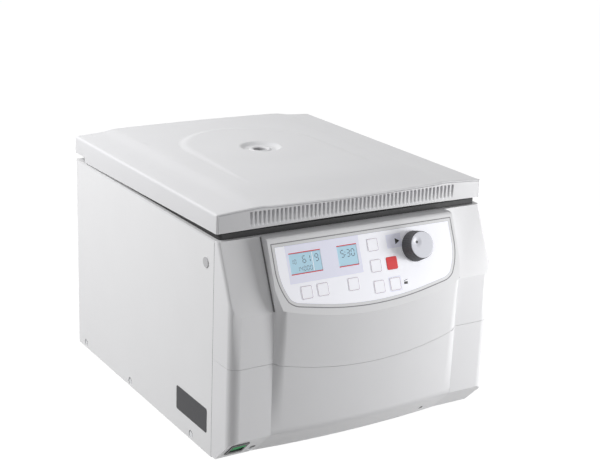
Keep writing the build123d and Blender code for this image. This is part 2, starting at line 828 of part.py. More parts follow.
# ------------------------------------------------------------------ encoder and knob
hub_top_depth = encoder_top_depth + encoder_wall + encoder_hub_gap
hub_bottom_depth = board_depth - encoder_wall - encoder_hub_gap
with BuildPart() as encoder:
    pad(pod, knob_x, knob_v, encoder_width, encoder_width, encoder_top_depth, board_depth)
    cavity_top = hub_top_depth - encoder_hub_gap
    cavity_bottom = hub_bottom_depth + encoder_hub_gap
    cavity_radius = encoder_hub_radius + running_clearance
    stub(pod, knob_x, knob_v, cavity_radius, cavity_top, cavity_bottom, mode=Mode.SUBTRACT)
    stub(pod, knob_x, knob_v, knob_hole, 0, cavity_top, mode=Mode.SUBTRACT)
encoder.part.label = "encoder"
export_step(encoder.part, "parts/encoder.step")

with BuildPart() as encoder_rotor:
    stub(pod, knob_x, knob_v, encoder_hub_radius, hub_top_depth, hub_bottom_depth)
    bore_radius = knob_shaft_radius + running_clearance
    stub(pod, knob_x, knob_v, bore_radius, hub_top_depth, hub_bottom_depth, mode=Mode.SUBTRACT)
encoder_rotor.part.label = "encoder_rotor"
export_step(encoder_rotor.part, "parts/encoder_rotor.step")

knob_plane = Plane(
    origin=pod.from_local_coords(Vector(knob_x, knob_v, knob_lift)), x_dir=(1, 0, 0), z_dir=pod.z_dir
)
with BuildPart(knob_plane) as knob:
    standing = (Align.CENTER, Align.CENTER, Align.MIN)
    hanging = (Align.CENTER, Align.CENTER, Align.MAX)
    Cone(knob_base_radius, knob_face_radius, knob_height, align=standing)
    fillet(faces().filter_by(GeomType.PLANE).sort_by(SortBy.AREA)[0].edges(), radius=knob_edge_fillet)
    knob_slope = degrees(atan((knob_base_radius - knob_face_radius) / knob_height))
    groove_circle = knob_base_radius + knob_groove_radius - knob_groove_depth
    with PolarLocations(groove_circle, knob_grooves):
        with Locations(Location((0, 0, 0), (0, -knob_slope, 0))):
            Cylinder(knob_groove_radius, 2 * knob_height, mode=Mode.SUBTRACT)
    dimple_z = knob_height + knob_dimple_radius - knob_dimple_depth
    with Locations((-knob_dimple_offset, knob_dimple_offset / 2, dimple_z)):
        Sphere(knob_dimple_radius, mode=Mode.SUBTRACT)
    shaft_length = knob_lift + hub_bottom_depth - knob_travel - encoder_hub_gap
    Cylinder(knob_shaft_radius, shaft_length, align=hanging)
knob.part.label = "knob"
export_step(knob.part, "parts/knob.step")

# ------------------------------------------------------------------ keys
for key_name, (key_x, key_v) in key_places.items():
    with BuildPart() as key:
        key_under = key_thickness - key_proud
        pad(pod, key_x, key_v, key_size, key_size, -key_proud, key_under, key_corner)
        stem_end = board_depth - tact_height - key_rest_gap
        pad(pod, key_x, key_v, key_stem, key_stem, key_under, stem_end)
    key.part.label = key_name
    export_step(key.part, f"parts/{key_name}.step")

# ------------------------------------------------------------------ mains switch
with BuildPart() as switch_housing:
    pad(switch_face, 0, 0, switch_width, switch_height, -switch_rim, 0, key_corner)
    body_width = switch_width - 2 * switch_body_inset
    body_height = switch_height - 2 * switch_body_inset
    pad(switch_face, 0, 0, body_width, body_height, 0, switch_body_depth)
    well_width = rocker_width + 2 * rocker_gap
    well_length = rocker_length + 2 * rocker_gap
    well_depth = rocker_pivot_depth + rocker_drop + rocker_gap
    pad(switch_face, 0, 0, well_width, well_length, -2 * switch_rim, well_depth, mode=Mode.SUBTRACT)
    pivot_plane = Plane(
        origin=switch_face.from_local_coords(Vector(0, 0, -rocker_pivot_depth)),
        x_dir=switch_face.y_dir, z_dir=switch_face.x_dir,
    )
    with BuildSketch(pivot_plane):
        Circle(rocker_pin_radius + running_clearance)
    extrude(amount=well_width / 2 + rocker_gap, both=True, mode=Mode.SUBTRACT)
    blade_end = switch_body_depth + blade_length
    for blade_x in (-body_width / 4, body_width / 4):
        pad(switch_face, blade_x, 0, blade_thickness, blade_width, switch_body_depth, blade_end)
switch_housing.part.label = "switch_housing"
export_step(switch_housing.part, "parts/switch_housing.step")

with BuildPart() as power_rocker:
    half_length = rocker_length / 2 - rocker_gap
    rise = half_length * tan(radians(rocker_tilt))
    top_middle = rocker_pivot_depth - rise / 2
    with BuildSketch(pivot_plane):
        with BuildLine():
            Polyline(
                (-half_length, top_middle + rise),
                (0, top_middle),
                (half_length, top_middle + rise),
                (half_length, -rocker_drop / 4),
                (0, -rocker_drop),
                (-half_length, -rocker_drop / 4),
                close=True,
            )
        make_face()
    extrude(amount=rocker_width / 2, both=True)
    with BuildSketch(pivot_plane):
        Circle(rocker_pin_radius)
    extrude(amount=well_width / 2 + rocker_gap / 2, both=True)
rocker_axis = Axis(pivot_plane.origin, pivot_plane.z_dir)
power_rocker_solid = power_rocker.part.rotate(rocker_axis, rocker_tilt)
power_rocker_solid.label = "power_rocker"
export_step(power_rocker_solid, "parts/power_rocker.step")

# ------------------------------------------------------------------ mains inlet
with BuildPart() as mains_inlet:
    with BuildSketch(Plane.XZ.offset(-panel_back_y)):
        with Locations((inlet_x, inlet_z)):
            RectangleRounded(inlet_flange_width, inlet_flange_height, inlet_flange_corner)
    extrude(amount=-inlet_flange_thickness)
    body_front = panel_back_y - inlet_body_depth
    half_w = inlet_body_width / 2
    half_h = inlet_body_height / 2
    block(inlet_x - half_w, inlet_x + half_w, body_front, panel_back_y, inlet_z - half_h, inlet_z + half_h)
    mouth_y = panel_back_y + inlet_flange_thickness
    with BuildSketch(Plane.XZ.offset(-mouth_y)):
        with Locations((inlet_x, inlet_z)):
            RectangleRounded(inlet_socket_width, inlet_socket_height, inlet_socket_corner)
    extrude(amount=inlet_socket_depth, mode=Mode.SUBTRACT)
    socket_floor_y = mouth_y - inlet_socket_depth
    for pin_x, pin_z in inlet_pin_places:
        low_x, high_x = inlet_x + pin_x - inlet_pin_width / 2, inlet_x + pin_x + inlet_pin_width / 2
        low_z, high_z = inlet_z + pin_z - inlet_pin_height / 2, inlet_z + pin_z + inlet_pin_height / 2
        block(low_x, high_x, body_front - blade_length, socket_floor_y + inlet_pin_length, low_z, high_z)
mains_inlet.part.label = "mains_inlet"
export_step(mains_inlet.part, "parts/mains_inlet.step")

# ------------------------------------------------------------------ bowl, seal and guard ring
bowl_outer = bowl_radius + bowl_wall
flange_radius = deck_hole_radius + bowl_flange_width
with BuildPart() as bowl:
    with BuildSketch(Plane.XZ.offset(-rotor_y)):
        with BuildLine():
            floor_under = bowl_floor_z - bowl_wall
            collar_outer = bowl_collar_radius + bowl_wall
            collar_top = bowl_floor_z + bowl_collar_height
            flange_top = deck_top_z + bowl_wall
            inner_round = bowl_floor_radius - bowl_wall
            Polyline(
                (bowl_radius - inner_round, bowl_floor_z),
                (collar_outer, bowl_floor_z),
                (collar_outer, collar_top),
                (bowl_collar_radius, collar_top),
                (bowl_collar_radius, floor_under),
                (bowl_outer - bowl_floor_radius, floor_under),
            )
            RadiusArc(
                (bowl_outer - bowl_floor_radius, floor_under),
                (bowl_outer, floor_under + bowl_floor_radius),
                -bowl_floor_radius,
            )
            Polyline(
                (bowl_outer, floor_under + bowl_floor_radius),
                (bowl_outer, deck_top_z),
                (flange_radius, deck_top_z),
                (flange_radius, flange_top),
                (bowl_radius, flange_top),
                (bowl_radius, bowl_floor_z + inner_round),
            )
            RadiusArc(
                (bowl_radius, bowl_floor_z + inner_round),
                (bowl_radius - inner_round, bowl_floor_z),
                inner_round,
            )
        make_face()
    revolve(axis=Axis((0, rotor_y, 0), (0, 0, 1)))
bowl.part.label = "bowl"
export_step(bowl.part, "parts/bowl.step")

with BuildPart() as bowl_gasket:
    disc(0, rotor_y, flange_top, gasket_top_z, gasket_outer_radius)
    disc(0, rotor_y, flange_top, gasket_top_z, gasket_inner_radius, mode=Mode.SUBTRACT)
    with Locations((0, rotor_y, (flange_top + gasket_top_z) / 2)):
        Torus(gasket_outer_radius, gasket_groove_radius, mode=Mode.SUBTRACT)
bowl_gasket.part.label = "bowl_gasket"
export_step(bowl_gasket.part, "parts/bowl_gasket.step")

with BuildPart() as guard_ring:
    disc(0, rotor_y, guard_bottom_z, panel_top_z, guard_inner_radius + guard_thickness)
    disc(0, rotor_y, guard_bottom_z, panel_top_z, guard_inner_radius, mode=Mode.SUBTRACT)
guard_ring.part.label = "guard_ring"
export_step(guard_ring.part, "parts/guard_ring.step")

# ------------------------------------------------------------------ motor
with BuildPart() as vibration_mounts:
    with Locations((0, rotor_y, pan_top_z + mount_height / 2)):
        with GridLocations(mount_spacing, mount_spacing, 2, 2):
            Cylinder(mount_radius, mount_height)
            Torus(mount_radius, mount_waist, mode=Mode.SUBTRACT)
vibration_mounts.part.label = "vibration_mounts"
export_step(vibration_mounts.part, "parts/vibration_mounts.step")

with BuildPart() as motor_plate:
    with BuildSketch(Plane.XY.offset(motor_plate_z)):
        with Locations((0, rotor_y)):
            RectangleRounded(motor_plate_size, motor_plate_size, mount_radius)
    extrude(amount=motor_plate_thickness)
motor_plate.part.label = "motor_plate"
export_step(motor_plate.part, "parts/motor_plate.step")

shaft_bore = shaft_radius + running_clearance
with BuildPart() as motor_stator:
    disc(0, rotor_y, motor_base_z, motor_top_z, motor_radius)
    with Locations((0, rotor_y, motor_base_z + motor_height / 2)):
        with PolarLocations(motor_radius, motor_fins):
            Box(2 * motor_fin_height, motor_fin_thickness, motor_height - 2 * motor_end_thickness)
    cavity_low = motor_base_z + motor_end_thickness
    cavity_high = motor_top_z - motor_end_thickness
    disc(0, rotor_y, cavity_low, cavity_high, motor_cavity_radius, mode=Mode.SUBTRACT)
    disc(0, rotor_y, motor_base_z + shaft_end_gap, motor_top_z, shaft_bore, mode=Mode.SUBTRACT)
motor_stator.part.label = "motor_stator"
export_step(motor_stator.part, "parts/motor_stator.step")

hub_top_z = spindle_shoulder_z + hub_height
nut_top_z = hub_top_z + nut_height
shaft_top_z = hub_top_z - shaft_step
with BuildPart() as motor_shaft:
    disc(0, rotor_y, motor_base_z + shaft_end_gap + shaft_lift, shaft_top_z, shaft_radius)
    armature_radius = motor_cavity_radius - armature_gap
    disc(0, rotor_y, cavity_low + armature_end_gap, cavity_high - armature_end_gap, armature_radius)
    disc(0, rotor_y, motor_top_z + shaft_lift, spindle_shoulder_z, shaft_shoulder_radius)
    disc(0, rotor_y, shaft_top_z, nut_top_z - thread_end_gap, thread_radius)
motor_shaft.part.label = "motor_shaft"
export_step(motor_shaft.part, "parts/motor_shaft.step")

# ------------------------------------------------------------------ swing-out rotor
arm_low_z = trunnion_z - arm_height / 2
with BuildPart() as rotor_head:
    disc(0, rotor_y, spindle_shoulder_z, hub_top_z, hub_radius)
    for quarter in range(carrier_count):
        turn = 45 + 90 * quarter
        arm_plane = Plane(origin=(0, rotor_y, arm_low_z), x_dir=(1, 0, 0), z_dir=(0, 0, 1))
        with BuildSketch(arm_plane.rotated((0, 0, turn))):
            reach = (arm_block_inner + arm_block_cut) / 2 * sqrt(2)
            with Locations((reach / 2, 0)):
                Rectangle(reach, arm_width)
        extrude(amount=arm_height)
        with BuildSketch(arm_plane.rotated((0, 0, turn - 45))):
            with BuildLine():
                Polyline(
                    (arm_block_inner, arm_block_inner),
                    (arm_block_outer, arm_block_inner),
                    (arm_block_outer, arm_block_cut),
                    (arm_block_cut, arm_block_outer),
                    (arm_block_inner, arm_block_outer),
                    close=True,
                )
            make_face()
            hole_place = (arm_block_inner + arm_block_cut) / 2 + arm_block_hole
            with Locations((hole_place, hole_place)):
                Circle(arm_block_hole, mode=Mode.SUBTRACT)
        extrude(amount=arm_height)
    pin_end = carrier_half_width - carrier_cheek + trunnion_pin_gap
    pin_length = arm_block_inner + arm_block_hole / 2 - pin_end
    for quarter in range(carrier_count):
        for side in (-1, 1):
            tangent = Plane(origin=(0, rotor_y, trunnion_z), x_dir=(1, 0, 0), z_dir=(0, 0, 1))
            spoke = tangent.rotated((0, 0, 90 * quarter))
            pin_plane = Plane(
                origin=spoke.from_local_coords(Vector(trunnion_radius, side * pin_end, 0)),
                x_dir=(0, 0, 1), z_dir=spoke.y_dir * side,
            )
            with BuildSketch(pin_plane):
                Circle(trunnion_pin_radius)
            extrude(amount=pin_length)
    disc(0, rotor_y, spindle_shoulder_z, hub_top_z, shaft_bore, mode=Mode.SUBTRACT)
rotor_head.part.label = "rotor_head"
export_step(rotor_head.part, "parts/rotor_head.step")

with BuildPart() as rotor_nut:
    with BuildSketch(Plane.XY.offset(hub_top_z)):
        with Locations((0, rotor_y)):
            Circle(nut_radius)
            with PolarLocations(nut_radius, nut_grooves):
                Circle(nut_groove_radius, mode=Mode.SUBTRACT)
            Circle(thread_radius + running_clearance, mode=Mode.SUBTRACT)
    extrude(amount=nut_height)
rotor_nut.part.label = "rotor_nut"
export_step(rotor_nut.part, "parts/rotor_nut.step")

# ------------------------------------------------------------------ cytology carriers
cheek_inner = carrier_half_width - carrier_cheek
drop_z = -carrier_drop
slide_z = drop_z + carrier_floor
base_z = slide_z + slide_thickness
rib_z = base_z + chamber_base_thickness
for number in range(1, carrier_count + 1):
    spoke = Plane(origin=(0, rotor_y, 0), x_dir=(1, 0, 0), z_dir=(0, 0, 1)).rotated((0, 0, 90 * (number - 1)))
    seat = Plane(
        origin=spoke.from_local_coords(Vector(trunnion_radius, 0, trunnion_z)),
        x_dir=spoke.x_dir, z_dir=(0, 0, 1)
    )
    with BuildPart(seat) as carrier:
        half = carrier_half_depth
        block(-half, half, -carrier_half_width, carrier_half_width, drop_z, slide_z)
        for side in (-1, 1):
            low, high = sorted((side * cheek_inner, side * carrier_half_width))
            block(-half, half, low, high, drop_z, -carrier_shoulder_drop)
            block(-carrier_ear_radius, carrier_ear_radius, low, high, -carrier_shoulder_drop, 0)
            with Locations(Location((0, (low + high) / 2, 0), (90, 0, 0))):
                Cylinder(carrier_ear_radius, carrier_cheek)
                Cylinder(trunnion_pin_radius + running_clearance, carrier_cheek, mode=Mode.SUBTRACT)
            rib_low, rib_high = sorted((side * cheek_inner, side * (cheek_inner - clamp_rib_width)))
            block(-half / 2, half / 2, rib_low, rib_high, rib_z, rib_z + clamp_rib_height)
    carrier.part.label = f"cyto_carrier_{number}"
    export_step(carrier.part, f"parts/cyto_carrier_{number}.step")

    with BuildPart(seat) as slide:
        block(-slide_width / 2, slide_width / 2, -slide_length / 2, slide_length / 2, slide_z, base_z)
    slide.part.label = f"slide_{number}"
    export_step(slide.part, f"parts/slide_{number}.step")

    with BuildPart(seat) as chamber:
        half_length = chamber_base_length / 2
        block(-slide_width / 2, slide_width / 2, -half_length, half_length, base_z, rib_z)
        disc(0, 0, rib_z, base_z + chamber_height, chamber_outer_radius)
        disc(0, 0, base_z, base_z + chamber_height, chamber_bore_radius, mode=Mode.SUBTRACT)
    chamber.part.label = f"chamber_{number}"
    export_step(chamber.part, f"parts/chamber_{number}.step")

# ------------------------------------------------------------------ lid
def lid_section(heights, inset):
    """Cross-section of the lid seen from the front, as half-profile points mirrored."""
    half = lid_half_width - inset
    top = [(half, lid_edge_z - lid_edge_break - inset), (half - lid_edge_break, lid_edge_z - inset)]
    stations = (*lid_stations, 0.0)
    top += [(station, height - inset) for station, height in zip(stations, heights)]
    right = [(half, lid_bottom_z - inset), *top]
    left = [(-x, z) for x, z in reversed(right[:-1])]
    with BuildSketch() as section:
        with BuildLine():
            Polyline(*right, *left, close=True)
        make_face()
    return section.sketch


def lid_mass(inset):
    """The lid's outer form as a solid, drawn inwards by inset and open below."""
    front_section = lid_section(lid_front_heights, inset)
    back_section = lid_section(lid_back_heights, inset)
    with BuildPart() as mass:
        with BuildSketch(Plane.XZ.offset(-lid_front_y - inset)):
            add(front_section)
        with BuildSketch(Plane.XZ.offset(-lid_scoop_y)):
            add(back_section)
        loft(ruled=True)
        with BuildSketch(Plane.XZ.offset(-lid_scoop_y)):
            add(back_section)
        with BuildSketch(Plane.XZ.offset(-lid_back_y + inset)):
            add(back_section)
        loft(ruled=True)
    return mass.part


lid_outer = lid_mass(0)
lid_inner = lid_mass(lid_wall)
plateau_tilt = (plateau_back_z - plateau_front_z) / (plateau_back_y - lid_scoop_y)
lid_top_z = plateau_front_z + plateau_tilt * (sight_y - lid_scoop_y)

with BuildPart() as lid_shell:
    add(lid_outer)
    with BuildSketch(Plane.XY.offset(lid_edge_z)):
        with BuildLine():
            Polyline(
                (plateau_half_width, plateau_back_y - plateau_round),
                (plateau_half_width, lid_scoop_y),
                (-plateau_half_width, lid_scoop_y),
                (-plateau_half_width, plateau_back_y - plateau_round),
            )
            ThreePointArc(
                (-plateau_half_width, plateau_back_y - plateau_round),
                (0, plateau_back_y),
                (plateau_half_width, plateau_back_y - plateau_round),
            )
        make_face()
    extrude(amount=2 * (plateau_back_z - lid_edge_z))
    top_cut = Plane(origin=(0, lid_scoop_y, plateau_front_z), x_dir=(1, 0, 0), z_dir=(0, -plateau_tilt, 1))
    split(bisect_by=top_cut, keep=Keep.BOTTOM)
    add(lid_inner, mode=Mode.SUBTRACT)
    boss_top = lid_edge_z - lid_wall
    for boss_y in lid_boss_y:
        for side in (-1, 1):
            disc(side * lid_boss_x, boss_y, inner_plate_top_z, boss_top + lid_wall, lid_boss_radius)
    disc(0, sight_y, lid_top_z - sight_boss_depth, lid_top_z - lid_wall, sight_boss_radius)
    with Locations((0, sight_y, lid_top_z - sight_dish_depth / 2)):
        Cone(sight_dish_floor_radius, sight_dish_radius, sight_dish_depth, mode=Mode.SUBTRACT)
    disc(0, sight_y, lid_bottom_z, lid_top_z, sight_hole_radius, mode=Mode.SUBTRACT)
    glass_low_z = lid_top_z - sight_boss_depth
    glass_seat_z = glass_low_z + sight_glass_thickness
    glass_seat_radius = sight_glass_radius + sight_glass_clearance
    disc(0, sight_y, glass_low_z, glass_seat_z, glass_seat_radius, mode=Mode.SUBTRACT)
    side_inner = lid_half_width - lid_wall
    for skirt_x in (-lid_half_width, side_inner):
        with BuildSketch(Plane.YZ.offset(skirt_x)) as skirt:
            with BuildLine():
                Polyline(
                    (lid_front_y, lid_bottom_z),
                    (lid_skirt_back_y, lid_skirt_low_z),
                    (lid_skirt_back_y, lid_bottom_z + lid_wall),
                    (lid_front_y, lid_bottom_z + lid_wall),
                    close=True,
                )
            make_face()
        extrude(amount=lid_wall)
    grille_back = lid_front_y + grille_thickness
    block(-side_inner, side_inner, lid_front_y, grille_back, lid_bottom_z, grille_top_z, Mode.SUBTRACT)
    for side in (-1, 1):
        low = side * hinge_x - hinge_notch_half_width
        high = side * hinge_x + hinge_notch_half_width
        notch_front = lid_back_y - 2 * lid_wall
        block(low, high, notch_front, lid_back_y, lid_bottom_z, hinge_notch_top_z, Mode.SUBTRACT)
lid_shell.part.label = "lid_shell"
export_step(lid_shell.part, "parts/lid_shell.step")

with BuildPart() as lid_grille:
    with BuildSketch(Plane.XZ.offset(-lid_front_y)):
        with BuildLine():
            ThreePointArc(
                (-grille_half_width, lid_bottom_z),
                (0, lid_bottom_z + grille_arch),
                (grille_half_width, lid_bottom_z),
            )
            Polyline(
                (grille_half_width, lid_bottom_z),
                (grille_half_width, grille_top_z),
                (-grille_half_width, grille_top_z),
                (-grille_half_width, lid_bottom_z),
            )
        make_face()
        slot_height = grille_slot_top_z - grille_slot_bottom_z
        with Locations((0, (grille_slot_top_z + grille_slot_bottom_z) / 2)):
            with GridLocations(grille_slot_pitch, 1, grille_slot_count, 1):
                SlotOverall(slot_height, grille_slot_width, rotation=90, mode=Mode.SUBTRACT)
    extrude(amount=-grille_thickness)
lid_grille.part.label = "lid_grille"
export_step(lid_grille.part, "parts/lid_grille.step")

with BuildPart() as lid_inner_plate:
    half = inner_plate_half_width
    block(-half, half, inner_plate_front_y, inner_plate_back_y, inner_plate_bottom_z, inner_plate_top_z)
    disc(0, sight_y, inner_plate_bottom_z, inner_plate_top_z, sight_hole_radius, mode=Mode.SUBTRACT)
lid_inner_plate.part.label = "lid_inner_plate"
export_step(lid_inner_plate.part, "parts/lid_inner_plate.step")

with BuildPart() as sight_glass:
    disc(0, sight_y, glass_low_z, glass_seat_z, sight_glass_radius)
sight_glass.part.label = "sight_glass"
export_step(sight_glass.part, "parts/sight_glass.step")

with BuildPart() as latch_hooks:
    for side in (-1, 1):
        x = side * hook_x
        half_width = hook_width / 2
        block(x - hook_thickness / 2, x + hook_thickness / 2, lock_y - half_width, lock_y + half_width,
              hook_bottom_z, inner_plate_bottom_z)
        half_window = hook_window / 2
        block(x - hook_thickness, x + hook_thickness, lock_y - half_window, lock_y + half_window,
              hook_window_z, hook_window_z + hook_window, Mode.SUBTRACT)
        half_flange = hook_flange / 2
        block(x - half_flange, x + half_flange, lock_y - half_flange, lock_y + half_flange,
              inner_plate_bottom_z - hook_flange_thickness, inner_plate_bottom_z)
latch_hooks.part.label = "latch_hooks"
export_step(latch_hooks.part, "parts/latch_hooks.step")

# ------------------------------------------------------------------ hinges
pin_bore = hinge_pin_radius + running_clearance
ear_outer = hinge_ear_gap + hinge_ear_thickness
with BuildPart() as hinge_arms:
    for side in (-1, 1):
        x = side * hinge_x
        half = hinge_arm_width / 2
        arm_top = inner_plate_top_z + hinge_arm_height
        block(x - half, x + half, hinge_arm_front_y, hinge_y, inner_plate_top_z, arm_top)
        rod(x - half, x + half, hinge_y, hinge_z, hinge_knuckle_radius)
        rod(x - half, x + half, hinge_y, hinge_z, pin_bore, Mode.SUBTRACT)
        foot_half = half + hinge_foot_width
        block(x - foot_half, x + foot_half, hinge_arm_front_y, inner_plate_back_y - hinge_knuckle_radius,
              inner_plate_top_z, inner_plate_top_z + sheet)
hinge_arms.part.label = "hinge_arms"
export_step(hinge_arms.part, "parts/hinge_arms.step")

with BuildPart() as hinge_brackets:
    for side in (-1, 1):
        x = side * hinge_x
        base_top = deck_top_z + hinge_base_thickness
        half_depth = hinge_base_depth / 2
        block(x - ear_outer, x + ear_outer, hinge_y - half_depth, panel_back_y, deck_top_z, base_top)
        for ear in (-1, 1):
            low, high = sorted((x + ear * hinge_ear_gap, x + ear * ear_outer))
            block(low, high, hinge_y - half_depth, panel_back_y, base_top, hinge_z)
            rod(low, high, hinge_y, hinge_z, hinge_knuckle_radius)
            rod(low, high, hinge_y, hinge_z, pin_bore, Mode.SUBTRACT)
hinge_brackets.part.label = "hinge_brackets"
export_step(hinge_brackets.part, "parts/hinge_brackets.step")

with BuildPart() as hinge_pins:
    for side in (-1, 1):
        x = side * hinge_x
        half_pin = ear_outer + hinge_pin_head
        rod(x - half_pin, x + half_pin, hinge_y, hinge_z, hinge_pin_radius)
        for ear in (-1, 1):
            low, high = sorted((x + ear * ear_outer, x + ear * (ear_outer + hinge_pin_head)))
            rod(low, high, hinge_y, hinge_z, hinge_pin_head_radius)
hinge_pins.part.label = "hinge_pins"
export_step(hinge_pins.part, "parts/hinge_pins.step")

coil_radius = hinge_pin_radius + spring_gap + spring_wire_radius
coil_start = hinge_arm_width / 2 + spring_gap + spring_wire_radius
coils = []
for side in (-1, 1):
    for ear in (-1, 1):
        start = side * hinge_x + ear * coil_start
        coil_plane = Plane(origin=(start, hinge_y, hinge_z), x_dir=(0, 0, -1), z_dir=(ear, 0, 0))
        coils.append(coil_plane.location * Helix(spring_pitch, spring_length, coil_radius))
with BuildPart() as hinge_springs:
    for coil in coils:
        with BuildSketch(Plane(origin=coil @ 0, z_dir=coil % 0)) as wire:
            Circle(spring_wire_radius)
        sweep(wire.sketch, path=coil, is_frenet=True)
hinge_springs.part.label = "hinge_springs"
export_step(hinge_springs.part, "parts/hinge_springs.step")

# ------------------------------------------------------------------ lid lock
channel_front = lock_y - channel_half_width
channel_back = lock_y + channel_half_width
channel_floor = bolt_bar_z - bolt_slide_gap
bar_half = bolt_bar_width / 2
bar_axis_z = bolt_bar_z + bolt_bar_height / 2
with BuildPart() as lid_lock:
    channel_under = channel_floor - channel_wall
    block(channel_left_x, channel_right_x, channel_front, channel_back, channel_under, channel_floor)
    for wall_y in (channel_front, channel_back - channel_wall):
        block(channel_left_x, channel_right_x, wall_y, wall_y + channel_wall, channel_floor, panel_top_z)
    channel_end = channel_left_x + channel_wall
    block(channel_left_x, channel_end, channel_front, channel_back, channel_floor, panel_top_z)
    guide_inner = bar_half + bolt_slide_gap
    for guide_x in channel_guide_x:
        for side in (-1, 1):
            guide_outer = guide_inner + channel_guide_width
            guide_end = guide_x + channel_guide_length
            guide_top = channel_floor + channel_guide_height
            low, high = sorted((lock_y + side * guide_inner, lock_y + side * guide_outer))
            block(guide_x, guide_end, low, high, channel_floor, guide_top)
    solenoid_end = channel_right_x + solenoid_length
    solenoid_low = bar_axis_z - solenoid_height / 2
    solenoid_top = solenoid_low + solenoid_height
    block(channel_right_x, solenoid_end, channel_front, channel_back, solenoid_low, solenoid_top)
    rod_bore = bolt_rod_radius + running_clearance
    rod(channel_right_x, channel_right_x + solenoid_bore_depth, lock_y, bar_axis_z, rod_bore, Mode.SUBTRACT)
    wire_hole = release_wire_radius + release_wire_clearance
    rod(channel_left_x, channel_left_x + channel_wall, lock_y, release_z, wire_hole, Mode.SUBTRACT)
lid_lock.part.label = "lid_lock"
export_step(lid_lock.part, "parts/lid_lock.step")

with BuildPart() as lock_bolt:
    riser_high = bolt_nose_z + bolt_nose_height
    bar_top = bolt_bar_z + bolt_bar_height
    nose_length = bolt_travel + bolt_nose_overlap
    bar_end = hook_x - hook_thickness / 2 - bolt_nose_rest_gap - nose_length
    block(bolt_yoke_x, bar_end, lock_y - bar_half, lock_y + bar_half, bolt_bar_z, bar_top)
    for side in (-1, 1):
        tip = side * hook_x - hook_thickness / 2 - bolt_nose_rest_gap
        riser = tip - nose_length
        block(riser, tip, lock_y - bar_half, lock_y + bar_half, bolt_nose_z, riser_high)
        block(riser - bolt_riser_length, riser, lock_y - bar_half, lock_y + bar_half, bolt_bar_z, riser_high)
    yoke_end = bolt_yoke_x + bolt_yoke_thickness
    block(bolt_yoke_x, yoke_end, lock_y - bar_half, lock_y + bar_half, bolt_bar_z, bolt_yoke_top_z)
    slot_low = lock_y - bolt_yoke_slot / 2
    slot_high = lock_y + bolt_yoke_slot / 2
    slot_floor = release_z - bolt_yoke_slot / 2
    block(bolt_yoke_x, yoke_end, slot_low, slot_high, slot_floor, bolt_yoke_top_z, Mode.SUBTRACT)
    rod(bar_end, bolt_rod_end_x, lock_y, bar_axis_z, bolt_rod_radius)
lock_bolt.part.label = "lock_bolt"
export_step(lock_bolt.part, "parts/lock_bolt.step")

with BuildPart() as release_pull:
    head_in = -cabinet_half - release_head_gap
    collar_start = yoke_end + release_travel + collar_end_gap
    rod(head_in - release_head, head_in, lock_y, release_z, release_head_radius)
    rod(head_in, head_in + release_barrel_length, lock_y, release_z, release_barrel_radius)
    rod(head_in + release_barrel_length, collar_start, lock_y, release_z, release_wire_radius)
    rod(collar_start, collar_start + release_collar_length, lock_y, release_z, release_collar_radius)
release_pull.part.label = "release_pull"
export_step(release_pull.part, "parts/release_pull.step")

# ------------------------------------------------------------------ power board
with BuildPart() as power_board:
    board_low = pan_top_z + power_board_lift
    board_high = board_low + board_thickness
    left = power_board_x - power_board_width / 2
    right = power_board_x + power_board_width / 2
    near = power_board_y - power_board_depth / 2
    far = power_board_y + power_board_depth / 2
    block(left, right, near, far, board_low, board_high)
    inset = power_post_inset
    for post_x in (left + inset, right - inset):
        for post_y in (near + inset, far - inset):
            disc(post_x, post_y, pan_top_z, board_low, power_post_radius)
    for part_x, part_y, length, width, height in power_components:
        x = power_board_x + part_x
        y = power_board_y + part_y
        block(x - length / 2, x + length / 2, y - width / 2, y + width / 2, board_high, board_high + height)
    for can_x in power_can_x:
        x = power_board_x + can_x
        y = power_board_y + power_can_y
        disc(x, y, board_high, board_high + power_can_height, power_can_radius)
power_board.part.label = "power_board"
export_step(power_board.part, "parts/power_board.step")
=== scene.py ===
"""Looks of a benchtop cytocentrifuge, built around its packed construction model.

Lengths are in millimetres in the sizes below and are turned into metres where a mesh is placed.
"""

import json
import logging
import math
from collections.abc import Callable, Sequence
from dataclasses import dataclass
from enum import Enum
from functools import cache

import bmesh
import bpy
from mathutils import Matrix, Vector, geometry


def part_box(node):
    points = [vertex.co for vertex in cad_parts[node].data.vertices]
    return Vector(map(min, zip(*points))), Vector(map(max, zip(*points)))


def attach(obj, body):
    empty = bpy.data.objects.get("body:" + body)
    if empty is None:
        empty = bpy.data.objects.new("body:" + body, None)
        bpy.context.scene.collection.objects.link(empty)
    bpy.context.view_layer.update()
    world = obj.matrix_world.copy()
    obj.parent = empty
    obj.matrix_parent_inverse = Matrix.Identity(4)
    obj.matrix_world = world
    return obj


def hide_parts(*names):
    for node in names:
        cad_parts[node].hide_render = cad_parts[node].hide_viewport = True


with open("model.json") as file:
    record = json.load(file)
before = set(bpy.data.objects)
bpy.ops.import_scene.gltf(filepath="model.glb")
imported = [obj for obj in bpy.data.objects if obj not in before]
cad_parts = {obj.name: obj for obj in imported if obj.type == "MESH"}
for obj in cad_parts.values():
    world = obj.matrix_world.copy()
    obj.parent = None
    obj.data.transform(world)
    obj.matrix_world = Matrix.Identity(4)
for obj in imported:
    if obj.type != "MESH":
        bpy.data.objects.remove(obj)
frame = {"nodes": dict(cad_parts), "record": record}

LOG = logging.getLogger("cytocentrifuge")
MM = 0.001
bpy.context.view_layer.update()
SOFT, CRISP = 32.0, 50.0  # degrees: edges that turn by more stay sharp

Colour = tuple[float, float, float]
Place = tuple[float, float, float]
Flat = tuple[float, float]
Way = Sequence[float]
Socket = bpy.types.NodeSocket
Vert = bmesh.types.BMVert


